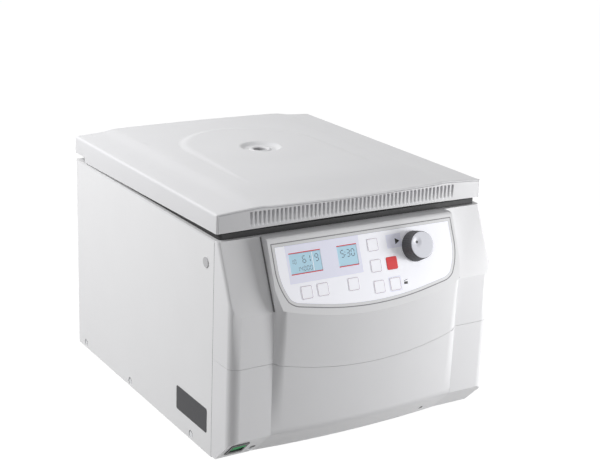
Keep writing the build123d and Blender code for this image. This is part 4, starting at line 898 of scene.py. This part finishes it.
@dataclass(frozen=True)
class PanelSizes:
    """Places and sizes on the sloping control panel, across and up its face."""

    base_y: float = -230.2
    base_z: float = 237.2
    lean: float = 22.53
    face_slack: float = 0.05
    corner_slack: float = 0.4
    corner_steps: int = 5
    print_height: float = 0.07
    tint_share: float = 0.6
    groove_shade_offset: float = 1.5
    groove_shade_width: float = 1.25
    margin: float = 1.8
    margin_lap: float = 0.3
    edge_width: float = 0.45
    tint_u: tuple[float, float] = (-117.5, -10.5)
    tint_v: tuple[float, float] = (3.0, 51.8)
    pointer_tint: tuple[float, ...] = (30.0, 27.0, 53.0, 45.0)
    lid_key_tint: tuple[float, ...] = (23.6, -27.6, 42.8, -8.4)
    lid_key_frame: float = 1.2
    window_v: tuple[float, float] = (14.8, 39.5)
    main_window: tuple[float, float] = (-113.55, -68.35)
    side_window: tuple[float, float] = (-44.4, -15.2)
    divider_share: float = 0.72
    divider_width: float = 0.8
    divider_inset: float = 1.0
    bar_height: float = 1.1
    stroke: float = 0.06
    half_bar: float = 0.2
    readings: tuple[Reading, ...] = (
        Reading("61", -92.5, 31.0, 8.2, 6.4), Reading("9", -74.5, 31.0, 8.6),
        Reading("14000", -102.5, 20.0, 5.4, 4.6), Reading("10", -110.0, 29.5, 5.2, 4.4),
        Reading("5", -37.0, 30.0, 8.6), Reading(":", -33.0, 30.0, 8.6), Reading("30", -28.5, 30.0, 8.6, 6.8),
    )
    pointer: tuple[Flat, ...] = ((43.4, 31.2), (50.2, 35.2), (43.4, 39.2))
    sign_base: tuple[float, ...] = (46.6, -20.6, 52.2, -17.4)
    sign_flap: tuple[Flat, ...] = ((46.6, -16.6), (52.2, -15.2), (52.2, -14.5), (46.6, -15.9))
    key_half: float = 8.0
    key_corner: float = 2.0
    key_line: float = 0.42
    key_inset: float = 0.35
    knob_u: float = 71.7
    knob_v: float = 25.0
    knob_lift: float = 1.0
    knob_height: float = 17.0
    knob_radius: float = 20.0
    knob_taper: float = 2.4
    knob_ribs: int = 48
    knob_rows: tuple[float, ...] = (0.0, 0.5, 1.0, 3.0, 6.0, 9.0, 12.0)
    knob_weld: float = 0.0005
    knob_shoulder: float = 1.6
    brow_gap: float = 1.0
    shoulder_turns: tuple[int, ...] = (0, 22, 45, 68, 90)
    collar: tuple[Flat, ...] = ((0.0, 1.2), (-0.8, 1.3))
    rib_depth: float = 0.55
    rib_middle: float = 7.0
    rib_half: float = 8.4
    rib_steps: int = 8
    stem_radius: float = 3.0
    stem_bevel: float = 0.4
    stem_lap: float = 1.0
    stem_sides: int = 32
    face_sides: int = 96
    face_radius: float = 16.9
    face_step: float = 0.6
    face_edge: float = 0.5
    face_edge_drop: float = 0.25
    face_lift: float = 0.15
    face_drop: float = 0.7
    dimple_at: tuple[float, float] = (-7.2, 4.6)
    dimple_radius: float = 7.4
    dimple_depth: float = 1.15


class Panel:
    """Prints, displays and knob of the sloping control panel."""

    def __init__(self, sizes: PanelSizes) -> None:
        """Keep the places and sizes, and work out the panel's own frame."""
        self.sizes = sizes
        lean = math.radians(sizes.lean)
        across = Vector((1, 0, 0))
        up = Vector((0, math.sin(lean), math.cos(lean)))
        self.place = axes(across, up, across.cross(up), (0, sizes.base_y, sizes.base_z))

    def points(self, node: str) -> list[Vector]:
        """A construction node's points in the panel's frame, as across, up and out."""
        home = self.place.inverted()
        return [home @ (vert.co / MM) for vert in frame["nodes"][node].data.vertices]

    def ring(
        self, form: Form, outline: Sequence[Vector], inner: float, outer: float, low: float = 0.0
    ) -> None:
        """Add a thin line that follows a convex outline at a distance.

        Args:
            form: Form to add to.
            outline: Corners in order, counter-clockwise.
            inner: Distance of the line's near edge, outwards.
            outer: Distance of its far edge.
            low: Height of its underside.
        """
        high = low + self.sizes.print_height
        form.hoop([
            [self.place @ Vector((*point, height)) for point in grown(outline, distance)]
            for distance, height in ((inner, low), (outer, low), (outer, high), (inner, high))
        ])

    def lay(self, form: Form, outline: Sequence[Flat], low: float = 0.0) -> None:
        """Print a flat shape on the face, or at a height above it."""
        form.slab(outline, low, low + self.sizes.print_height, self.place)

    def overlay_outline(self) -> list[Vector]:
        """Outline of the printed overlay, without corners that all but coincide.

        Returns:
            Its corners, counter-clockwise.
        """
        s = self.sizes
        flat = [point.to_2d() for point in self.points("control_overlay") if point.z > -s.face_slack]
        kept = []
        for corner in (flat[index] for index in geometry.convex_hull_2d(flat)):
            if not kept or (corner - kept[-1]).length > s.corner_slack:
                kept.append(corner)
        area = sum(a.x * b.y - b.x * a.y for a, b in zip(kept, kept[1:] + kept[:1]))
        return kept if area > 0 else kept[::-1]

    def outline_lines(self) -> None:
        """Draw a dark line of painted shade round the overlay where a groove would lie, its margin and the
        fine line at its edge.
        """
        s = self.sizes
        outline = self.overlay_outline()
        for name, slot, inner, outer, finish in (
            # first ring: a flat dark line of painted groove shade
            ("panel_groove_shade", "shell_plastic", s.groove_shade_offset, s.groove_shade_offset + s.groove_shade_width, PAINTED_GROOVE_SHADE),
            ("panel_margin", "shell_plastic", -s.margin, s.margin_lap, None),
            ("panel_edge_line", "overlay_foil", -s.margin - s.edge_width, -s.margin, EDGE_LINE),
        ):
            form = Form()
            self.ring(form, outline, inner, outer)
            form.place(name, slot, "cabinet", finish=finish)

    def tint(self) -> None:
        """Lay the pale tint round the two display windows, under the pointer and round the lid key."""
        s = self.sizes
        form = Form()
        lines_u = (s.tint_u[0], *s.main_window, *s.side_window, s.tint_u[1])
        lines_v = (s.tint_v[0], *s.window_v, s.tint_v[1])
        windows = {(1, 1), (3, 1)}  # cells of the grid that stay open
        corners = [[form.mesh.verts.new(self.place @ Vector((u, v, 0.0))) for v in lines_v] for u in lines_u]
        faces = [
            form.mesh.faces.new((corners[i][j], corners[i + 1][j], corners[i + 1][j + 1], corners[i][j + 1]))
            for i in range(len(lines_u) - 1) for j in range(len(lines_v) - 1) if (i, j) not in windows
        ]
        height = s.print_height * s.tint_share
        form.raise_faces(faces, self.place.to_3x3() @ Vector((0, 0, height)))
        form.slab(box(*s.pointer_tint), 0.0, height, self.place)
        self.ring(form, [Vector(point) for point in box(*s.lid_key_tint)], -s.lid_key_frame, 0.0)
        form.place("panel_tint", "overlay_foil", "cabinet", finish=TINT)

    def bars(self) -> None:
        """Lay the red bars above and below each display window."""
        s = self.sizes
        form = Form()
        for left, right in (s.main_window, s.side_window):
            for low in (s.window_v[0] - s.bar_height, s.window_v[1]):
                self.lay(form, box(left, low, right, low + s.bar_height))
        form.place("display_bars", "overlay_foil", "cabinet", finish=SLOT_FINISH["stop_red"])

    def digit(self, form: Form, sign: str, u: float, row: Reading, low: float) -> None:
        """Draw one seven-segment digit.

        Args:
            form: Form to add to.
            sign: The digit, or a colon.
            u: Its centre across.
            row: The row it stands in.
            low: Height of the display's face.
        """
        s = self.sizes
        thick, half = row.height * s.stroke, row.height * s.half_bar
        if sign == ":":
            for v in (row.v - half, row.v + half):
                self.lay(form, box(u - thick, v - thick, u + thick, v + thick), low)
            return
        bar = [(-half, 0), (thick - half, -thick), (half - thick, -thick)]
        bar += [(half, 0), (half - thick, thick), (thick - half, thick)]
        for name in DIGIT_BARS[sign].split():
            across, up, lies = Segment[name].value
            mid_u, mid_v = u + across * row.height, row.v + up * row.height
            shape = bar if lies else [(-b, a) for a, b in bar]
            self.lay(form, [(mid_u + a, mid_v + b) for a, b in shape], low)

    def readout(self) -> None:
        """Draw the digits and the divider on the two displays."""
        s = self.sizes
        low = max(point.z for point in self.points("display_module"))
        form = Form()
        for row in s.readings:
            for index, sign in enumerate(row.text):
                self.digit(form, sign, row.u + index * row.pitch, row, low)
        form.place("display_digits", "display_glass", "cabinet", finish=DIGIT_GREY)
        divider = Form()
        left = mix(*s.main_window, s.divider_share)
        bottom, top = s.window_v[0] + s.divider_inset, s.window_v[1] - s.divider_inset
        self.lay(divider, box(left, bottom, left + s.divider_width, top), low)
        divider.place("display_divider", "display_glass", "cabinet", finish=SLOT_FINISH["key_foil"])

    def key_lines(self) -> None:
        """Draw the rounded line round the top of each white key."""
        s = self.sizes
        for name in (f"{word}_key" for word in WHITE_KEYS):
            spots = self.points(name)
            top = max(point.z for point in spots)
            face = [point for point in spots if point.z > top - s.face_slack]
            u, v = ((max(p[axis] for p in face) + min(p[axis] for p in face)) / 2 for axis in (0, 1))
            outline = rounded_box(u, v, s.key_half, s.key_half, s.key_corner, s.corner_steps)
            form = Form()
            self.ring(form, outline, -s.key_inset - s.key_line, -s.key_inset, top)
            form.place(f"{name}_line", "key_foil", name, finish=KEY_LINE)

    def signs(self) -> None:
        """Print the pointer beside the knob and the open-lid sign."""
        s = self.sizes
        form = Form()
        for outline in (s.pointer, box(*s.sign_base), s.sign_flap):
            self.lay(form, outline)
        form.place("panel_signs", "black_plastic", "cabinet")

    def knob_point(self, u: float, v: float, height: float) -> Vector:
        """Point of the knob from its own axis."""
        s = self.sizes
        return self.place @ Vector((s.knob_u + u, s.knob_v + v, s.knob_lift + height))

    def knob_body(self) -> None:
        """Build the knob's ribbed side with its rounded shoulder and its shaft."""
        s = self.sizes
        form = Form()
        turns = s.knob_ribs * s.rib_steps
        brow = s.knob_height - s.knob_shoulder
        rows = [(height, 0.0) for height in (*s.knob_rows, brow - s.brow_gap)]
        for turn in s.shoulder_turns:
            a = math.radians(turn)
            rows.append((brow + s.knob_shoulder * math.sin(a), s.knob_shoulder * (1 - math.cos(a))))
        rows += [(s.knob_height + up, s.knob_shoulder + inset) for up, inset in s.collar]

        def point(column: float, row: Flat) -> Vector:
            """Point of the side at a step of the turn."""
            height, inset = row
            angle = 2 * math.pi * column / turns
            rib = max(0.0, 1.0 - abs(height - s.rib_middle) / s.rib_half) ** 0.25 if height < brow else 0.0
            wave = (0.5 - 0.5 * math.cos(angle * s.knob_ribs)) ** 2
            radius = s.knob_radius - s.knob_taper * height / s.knob_height - inset - s.rib_depth * rib * wave
            return self.knob_point(radius * math.cos(angle), radius * math.sin(angle), height)

        form.grid(list(range(turns + 1)), rows, point)
        bmesh.ops.remove_doubles(form.mesh, verts=form.mesh.verts[:], dist=s.knob_weld)
        bmesh.ops.holes_fill(form.mesh, edges=form.rim(), sides=0)
        low = min(point.z for point in self.points("knob"))
        foot = self.place @ Vector((s.knob_u, s.knob_v, low))
        stem, end = s.knob_lift - low + s.stem_lap, s.stem_radius
        line = [(0.0, 0.0), (end - s.stem_bevel, 0.0), (end, s.stem_bevel), (end, stem), (0.0, stem)]
        form.lathe(line, foot, self.place.to_3x3() @ Vector((0, 0, 1)), s.stem_sides)
        form.place("knob_grip", "knob_grey", "knob", ["knob"], sharp=CRISP)

    def knob_face(self) -> None:
        """Build the knob's pale face with its finger dimple."""
        s = self.sizes
        form = Form()
        radii = [0.0, *spaced(s.face_step, s.face_radius - s.face_step, s.face_step)]
        radii += [s.face_radius - inset for inset in (s.face_edge, 0.4 * s.face_edge, 0.0)]
        line = [(radius, 0.0) for radius in radii] + [(s.face_radius, -s.face_drop)]
        form.lathe(line, (0, 0, 0), (0, 0, 1), s.face_sides)
        for vert in form.mesh.verts:
            u, v, depth = vert.co
            away = math.hypot(u - s.dimple_at[0], v - s.dimple_at[1]) / s.dimple_radius
            drop = s.dimple_depth * (1 - smooth_step(away))
            over = max(0.0, math.hypot(u, v) - s.face_radius + s.face_edge) / s.face_edge
            height = s.face_lift - drop - s.face_edge_drop * over * over
            if depth < -s.face_drop / 2:
                height = -s.face_drop
            vert.co = self.knob_point(u, v, s.knob_height + height)
        form.place("knob_face", "knob_grey", "knob", finish=KNOB_FACE)

    def build(self) -> None:
        """Build every piece of the panel."""
        self.outline_lines()
        self.tint()
        self.bars()
        self.readout()
        self.key_lines()
        self.signs()
        self.knob_body()
        self.knob_face()


# ---------------------------------------------------------------------- cabinet trim
@dataclass(frozen=True)
class TrimSizes:
    """Sizes of the black strip of painted shade under the lid's edge and of the rating plate."""

    shade_strip_top: float = 301.6
    shade_strip_width: float = 2.6
    front_y: float = -186.4
    side_x: float = 192.6
    back_y: float = 226.0
    shade_strip_corner: float = 5.0
    shade_strip_turn: int = 30
    corner_steps: int = 6
    plate_y: tuple[float, float] = (-170.4, -86.1)
    plate_z: tuple[float, float] = (35.4, 68.4)
    plate_corner: float = 3.0
    plate_thickness: float = 0.35


class Trim:
    """Black strip on the deck that paints the shade under the lid's edge, and the bare rating plate on the
    left side.
    """

    def __init__(self, sizes: TrimSizes) -> None:
        """Keep the sizes of the seal and the plate."""
        self.sizes = sizes

    def shade_strip(self) -> None:
        """Lay a black strip round the deck as painted shade under the lid's edge."""
        s = self.sizes
        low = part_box("top_deck")[1][2] / MM
        middle, half_v = (s.front_y + s.back_y) / 2, (s.back_y - s.front_y) / 2
        outer = rounded_box(0, middle, s.side_x, half_v, s.shade_strip_corner, s.corner_steps)
        inner = grown(outer, -s.shade_strip_width)
        half = s.shade_strip_width / 2
        section = [(0.0, low), (0.0, s.shade_strip_top - half)]
        for turn in range(s.shade_strip_turn, 180, s.shade_strip_turn):
            a = math.radians(turn)
            section.append((half * (1 - math.cos(a)), s.shade_strip_top - half * (1 - math.sin(a))))
        section += [(s.shade_strip_width, s.shade_strip_top - half), (s.shade_strip_width, low)]
        form = Form()
        form.hoop([
            [(mix(a.x, b.x, inset / s.shade_strip_width), mix(a.y, b.y, inset / s.shade_strip_width), height)
             for a, b in zip(outer, inner)]
            for inset, height in section
        ])
        # black rubber finish on this strip: painted shade under the lid's edge
        form.place("deck_shade_strip", "rubber_black", "cabinet", sharp=CRISP)

    def plate(self) -> None:
        """Fix the rating plate to the left side panel."""
        s = self.sizes
        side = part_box("left_side_panel")[0][0] / MM
        place = axes((0, -1, 0), (0, 0, 1), (-1, 0, 0), (side, 0, 0))
        (back, front), (low, high) = s.plate_y, s.plate_z
        centre, half = (-(back + front) / 2, (low + high) / 2), ((front - back) / 2, (high - low) / 2)
        outline = rounded_box(*centre, *half, s.plate_corner, s.corner_steps)
        form = Form()
        form.slab([tuple(point) for point in outline], 0.0, s.plate_thickness, place)
        form.place("rating_plate", "black_plastic", "cabinet", finish=PLATE_BLACK_AND_WELL_SHADE)

    def build(self) -> None:
        """Build both pieces."""
        self.shade_strip()
        self.plate()


# ---------------------------------------------------------------------- front mouldings
@dataclass(frozen=True)
class ShellSizes:
    """Sizes of the front mouldings' outer face."""

    half_width: float = 197.5
    front_y: float = -230.2
    back_y: float = -183.0
    seam_z: float = 142.1
    seam_dip: float = 18.0
    seam_gap: float = 0.4
    chamfer_z: float = 45.75
    kink_z: float = 208.8
    top_z: float = 293.75
    top_y: float = -191.7
    foot_z: float = 10.0
    chamfer_run: float = 36.05
    skin: float = 0.14
    weld: float = 0.002
    face_slack: float = 0.02
    corner_reach: float = 0.1
    level_angle: float = 0.3
    level_limit: float = 0.12
    screw_x: tuple[float, float] = (-151.0, 107.0)
    screw_z: float = 22.6
    screw_radius: float = 3.7
    screw_skin: float = 0.26
    screw_turn: float = 15.0
    pod_half: float = 139.5
    pod_lean: float = 22.53
    pod_base_z: float = 237.2
    lip_z: float = 193.8
    low_crown: float = 7.5
    lip_crown: float = 17.88
    low_shoulder: float = 0.7
    lip_shoulder: float = 9.2
    shoulder_x: float = 133.0
    shoulder_blend: float = 8.5
    end_zone: float = 14.0
    end_step: float = 1.0
    bow_step: float = 4.0
    bow_share: float = 0.08
    slope_share: float = 0.2
    tuck: float = 2.4
    edge_round: float = 1.2
    edge_steps: int = 3
    corner_round: float = 4.6
    pod_round: float = 4.4
    round_steps: int = 5
    corner_zone: float = 10.0
    wing_gap: float = 0.5
    short_edge: float = 20.0
    corner_edge: float = 40.0
    outside_y: float = -186.0
    crisp_angle: float = 24.0
    soft_angle: float = 34.0
    crease: float = 1.4
    crease_low: float = 1.0
    crease_high: float = 0.4
    seam_line: float = 0.5
    seam_stand: float = 0.06
    seam_depth: float = 1.0
    seam_low: float = 0.5
    seam_high: float = 3.0
    halvings: int = 24


class FrontShells:
    """The two front mouldings, with soft edges like those of cast plastic."""

    def __init__(self, sizes: ShellSizes) -> None:
        """Keep the sizes of the mouldings' outer face."""
        self.sizes = sizes

    def bulge(self, x: float, z: float) -> float:
        """How far the bowed middle stands out from the wings.

        Args:
            x: Place across.
            z: Height.

        Returns:
            The distance.
        """
        s = self.sizes
        climb = (z - s.chamfer_z) / (s.lip_z - s.chamfer_z)
        crown = mix(s.low_crown, s.lip_crown, climb)
        shoulder = mix(s.low_shoulder, s.lip_shoulder, climb)
        side = abs(x)
        arc = shoulder + (crown - shoulder) * (1.0 - (side / s.shoulder_x) ** 2)
        flank = shoulder * (s.pod_half - side) / (s.pod_half - s.shoulder_x)
        blend = min(s.shoulder_blend, shoulder)
        near = max(blend - abs(arc - flank), 0.0)
        return min(arc, flank) - near * near / (4.0 * blend)

    def seam(self, x: float) -> float:
        """Height of the seam between the two mouldings.

        Args:
            x: Place across.

        Returns:
            The height.
        """
        s = self.sizes
        radius = (s.pod_half**2 + s.seam_dip**2) / (2.0 * s.seam_dip)
        return s.seam_z + (radius - s.seam_dip) - math.sqrt(radius**2 - min(abs(x), s.pod_half) ** 2)

    def lip(self, x: float) -> float:
        """Height at which the bowed middle meets the pod's leaning face.

        Args:
            x: Place across.

        Returns:
            The height.
        """
        s = self.sizes
        lean = math.tan(math.radians(s.pod_lean))
        low, high = s.chamfer_z, s.pod_base_z
        for _ in range(s.halvings):
            middle = (low + high) / 2.0
            if self.bulge(x, middle) > (s.pod_base_z - middle) * lean:
                high = middle
            else:
                low = middle
        return low

    def bowed_face(self, form: Form, upper: bool) -> None:
        """Lay the smooth bowed face of one moulding, with its ends tucked in.

        Args:
            form: Mesh to add to.
            upper: Whether it is the upper moulding's.
        """
        s = self.sizes
        flat = s.pod_half - s.end_zone
        ends = [*spaced(flat, s.pod_half, s.end_step), s.pod_half]
        columns = [-x for x in reversed(ends)] + spaced(-flat, flat, s.bow_step)[1:] + ends
        # Rows 0 to 1 climb the face and 0 to -1 run down the slope at its foot. Past them an end is tucked in.
        shares = [*spaced(0.0, 1.0, s.bow_share), 1.0, 2.0]
        rows = [-1.0, *shares] if upper else [-2.0, *spaced(-1.0, 0.0, s.slope_share), *shares]

        def point(x: float, row: float) -> Place:
            """Turn a column and a share of the height into a point."""
            low = self.seam(x) if upper else s.chamfer_z
            high = self.lip(x) if upper else self.seam(x) - s.seam_gap
            z = mix(low, high, min(max(row, 0.0), 1.0))
            y = s.front_y - self.bulge(x, z)
            if row > 1.0 or (upper and row < 0.0):
                return x, y + s.tuck, z
            if row < 0.0:
                drop = min(-row, 1.0)
                back = s.chamfer_run * drop - s.skin + (s.tuck if row < -1.0 else 0.0)
                return x, y + back, mix(s.chamfer_z, s.foot_z, drop) - s.skin
            return x, y, z

        form.grid(columns, rows, point)

    def round_edges(self, form: Form, offset: float, steps: int, wanted: Callable) -> None:
        """Round crisp outward edges on the seen side of a moulding.

        Args:
            form: Mesh to work on.
            offset: How far back the rounding starts.
            steps: Steps across it.
            wanted: Tells for an edge's middle and direction whether it is rounded.
        """
        s = self.sizes
        form.mesh.normal_update()
        kept = []
        for edge in form.mesh.edges:
            if len(edge.link_faces) != 2 or edge.calc_face_angle_signed(0.0) < math.radians(s.crisp_angle):
                continue
            first, second = (vert.co for vert in edge.verts)
            if max(first.y, second.y) < s.outside_y and wanted((first + second) / 2, second - first):
                kept.append(edge)
        bmesh.ops.bevel(
            form.mesh, geom=kept, offset=offset, offset_type="OFFSET", segments=steps, profile=0.5,
            affect="EDGES", clamp_overlap=True, material=-1,
        )

    def on_bow(self, face: bmesh.types.BMFace) -> bool:
        """Tell whether a face belongs to the bowed middle, which is laid anew.

        Args:
            face: The face.

        Returns:
            Whether it does.
        """
        s = self.sizes
        centre, out = face.calc_center_median(), face.normal
        inside = abs(centre.x) < s.pod_half - s.face_slack and s.chamfer_z < centre.z < s.pod_base_z
        faces_front = out.y < -0.5 and abs(out.z) < s.level_limit
        return inside and faces_front and centre.y < s.front_y + s.face_slack

    def soften(self, node: str, upper: bool) -> None:
        """Copy a moulding, merge its skin, round its outer edges and lay its bowed face anew.

        Args:
            node: Construction node that the copy stands for.
            upper: Whether it is the upper moulding.
        """
        s = self.sizes
        form = Form()
        mesh = form.mesh
        mesh.from_mesh(frame["nodes"][node].data)
        bmesh.ops.scale(mesh, vec=(1 / MM, 1 / MM, 1 / MM), verts=mesh.verts)
        bmesh.ops.remove_doubles(mesh, verts=mesh.verts[:], dist=s.weld)
        bmesh.ops.delete(mesh, geom=[face for face in mesh.faces if self.on_bow(face)], context="FACES")
        level = math.radians(s.level_angle)
        bmesh.ops.dissolve_limit(mesh, angle_limit=level, verts=mesh.verts[:], edges=mesh.edges[:])
        corner, wing = s.half_width - s.corner_zone, s.pod_half + s.wing_gap
        self.round_edges(
            form, s.corner_round, s.round_steps,
            lambda at, way: abs(at.x) > corner and abs(way.z) > s.corner_edge,
        )
        if upper:
            self.round_edges(
                form, s.pod_round, s.round_steps,
                lambda at, way: abs(abs(at.x) - s.pod_half) < s.corner_reach and abs(way.z) > s.short_edge,
            )
        self.round_edges(
            form, s.edge_round, s.edge_steps,
            lambda at, way: abs(at.x) > wing and abs(way.x) > s.short_edge,
        )
        self.bowed_face(form, upper)
        piece = form.place(f"{node}_soft", "shell_plastic", "cabinet", [node], sharp=s.soft_angle)
        level_faces = piece.modifiers.new("flat_faces", "WEIGHTED_NORMAL")
        level_faces.keep_sharp = True
        level_faces.weight = 90

    def dark_lines(self) -> None:
        """Fill the pod's creases and the seams to the side panels with dark strips of painted shade."""
        s = self.sizes
        form = Form()
        sideways = axes((0, 1, 0), (0, 0, 1), (1, 0, 0), (0, 0, 0))
        kink, top, half = s.kink_z + s.crease_low, s.top_z - s.crease_high, s.seam_line / 2
        crease = [(s.front_y, kink), (s.front_y - s.crease, kink), (s.top_y - s.crease, top), (s.top_y, top)]
        strip = box(s.back_y - half, s.foot_z + s.seam_low, s.back_y + half, s.top_z - s.seam_high)
        for side in (-1.0, 1.0):
            for outline, near, far in (
                (crease, s.pod_half, s.pod_half + s.crease),
                (strip, s.half_width - s.seam_depth, s.half_width + s.seam_stand),
            ):
                form.slab(outline, *sorted((side * near, side * far)), sideways)
        form.place("shell_seam_and_crease_shade", "shell_plastic", "cabinet", finish=SEAM_AND_CREASE_SHADE)

    def screw_well_shade(self) -> None:
        """Paint the shade in the mouths of the two screw wells in the slope along the foot as thin black
        discs.
        """
        s = self.sizes
        form = Form()
        across = Vector((1.0, 0.0, 0.0))
        slope = Vector((0.0, s.chamfer_run, s.foot_z - s.chamfer_z)).normalized()
        turns = spaced(0.0, 2 * math.pi, math.radians(s.screw_turn))
        mouth = [(s.screw_radius * math.cos(a), s.screw_radius * math.sin(a)) for a in turns]
        back = (s.chamfer_z - s.screw_z) * s.chamfer_run / (s.chamfer_z - s.foot_z)
        for x in s.screw_x:
            stand = self.bulge(x, s.chamfer_z) if abs(x) < s.pod_half else 0.0
            place = axes(across, slope, across.cross(slope), (x, s.front_y + back - stand, s.screw_z))
            # black disc: painted shade in the well's mouth
            form.slab(mouth, -s.screw_skin, s.screw_skin, place)
        form.place("screw_well_shade", "shell_plastic", "cabinet", finish=PLATE_BLACK_AND_WELL_SHADE)

    def build(self) -> None:
        """Build both mouldings."""
        self.soften("upper_front_shell", True)
        self.soften("lower_front_shell", False)
        self.dark_lines()
        self.screw_well_shade()


# ---------------------------------------------------------------------- studio
@dataclass(frozen=True)
class Lamp:
    """A soft square lamp: its name, its place, its edge length and its power in watts."""

    name: str
    place: Place
    size: float
    power: float


@dataclass(frozen=True)
class Studio:
    """Floor, world, lamps and camera."""

    floor_half: float = 6000.0
    target: Place = (35.25, -2.8, 217.09)
    azimuth: float = -32.09
    elevation: float = 17.58
    roll: float = 2.15
    distance: float = 1846.38
    lens: float = 78.67
    sensor: float = 36.0
    clip_end: float = 50.0
    fill: float = 0.36
    floor_colour: Colour = (0.32, 0.32, 0.32)
    floor_glow: float = 1.31
    floor_share: float = 0.75
    lamp_aim: Place = (0.0, 0.0, 180.0)
    lamps: tuple[Lamp, ...] = (
        Lamp("left_soft_box", (-1160.0, 580.0, 1200.0), 800.0, 21.5),
        Lamp("right_soft_box", (940.0, -835.0, 235.0), 460.0, 10.9),
        Lamp("top_soft_box", (350.0, 350.0, 1700.0), 900.0, 1.2),
    )

    def camera(self) -> None:
        """Place the camera at the product view."""
        turn, lift, roll = (math.radians(a) for a in (self.azimuth, self.elevation, self.roll))
        back = Vector((math.sin(turn) * math.cos(lift), -math.cos(turn) * math.cos(lift), math.sin(lift)))
        level = Vector((math.cos(turn), math.sin(turn), 0.0))
        raised = back.cross(level)
        right = level * math.cos(roll) + raised * math.sin(roll)
        up = raised * math.cos(roll) - level * math.sin(roll)
        data = bpy.data.cameras.new("product_camera")
        data.lens = self.lens
        data.sensor_width = self.sensor
        data.clip_end = self.clip_end
        camera = bpy.data.objects.new("product_camera", data)
        camera.matrix_world = axes(right, up, back, (Vector(self.target) + back * self.distance) * MM)
        bpy.context.collection.objects.link(camera)
        bpy.context.scene.camera = camera

    def floor(self) -> None:
        """Lay the pale floor, which is brighter where it is seen directly."""
        sheet = Sheet(bpy.data.materials.new("studio_floor"))
        matt = sheet.add("ShaderNodeBsdfDiffuse", Color=(*self.floor_colour, 1.0))
        glow = sheet.add("ShaderNodeEmission", Color=(1.0, 1.0, 1.0, 1.0), Strength=self.floor_glow)
        share = sheet.add("ShaderNodeMath")
        share.operation = "MULTIPLY"
        share.inputs[1].default_value = self.floor_share
        sheet.join(sheet.seen_directly(), share.inputs[0])
        sheet.blend(share.outputs[0], matt.outputs["BSDF"], glow.outputs["Emission"])
        shape = bmesh.new()
        bmesh.ops.create_grid(shape, x_segments=1, y_segments=1, size=self.floor_half * MM)
        mesh = bpy.data.meshes.new("studio_floor")
        shape.to_mesh(mesh)
        shape.free()
        mesh.materials.append(sheet.owner)
        floor = bpy.data.objects.new("studio_floor", mesh)
        bpy.context.collection.objects.link(floor)

    def world(self) -> None:
        """Light the scene evenly, with a white backdrop where it is seen directly."""
        world = bpy.data.worlds.new("studio_world")
        bpy.context.scene.world = world
        sheet = Sheet(world)
        fill, seen = (
            sheet.add("ShaderNodeBackground", Color=(1.0, 1.0, 1.0, 1.0), Strength=strength).outputs[0]
            for strength in (self.fill, 1.0)
        )
        sheet.blend(sheet.seen_directly(), fill, seen)

    def hang(self, lamp: Lamp) -> None:
        """Hang a lamp and point it at the part.

        Args:
            lamp: Its name, place, size and power.
        """
        data = bpy.data.lights.new(lamp.name, "AREA")
        data.shape = "SQUARE"
        data.size = lamp.size * MM
        data.energy = lamp.power
        thing = bpy.data.objects.new(lamp.name, data)
        thing.location = Vector(lamp.place) * MM
        way = Vector(self.lamp_aim) - Vector(lamp.place)
        thing.rotation_euler = way.to_track_quat("-Z", "Y").to_euler()
        bpy.context.collection.objects.link(thing)

    def build(self) -> None:
        """Build the whole studio."""
        self.camera()
        self.floor()
        self.world()
        for lamp in self.lamps:
            self.hang(lamp)
        bpy.context.scene.view_settings.view_transform = "Standard"
        LOG.info("studio built")


def main() -> None:
    """Build every piece in order."""
    logging.basicConfig(level=logging.INFO, format="%(message)s")
    Studio().build()
    dress_frame()
    Lid(LidSizes()).build()
    Panel(PanelSizes()).build()
    Trim(TrimSizes()).build()
    FrontShells(ShellSizes()).build()


if __name__ == "__main__":
    main()
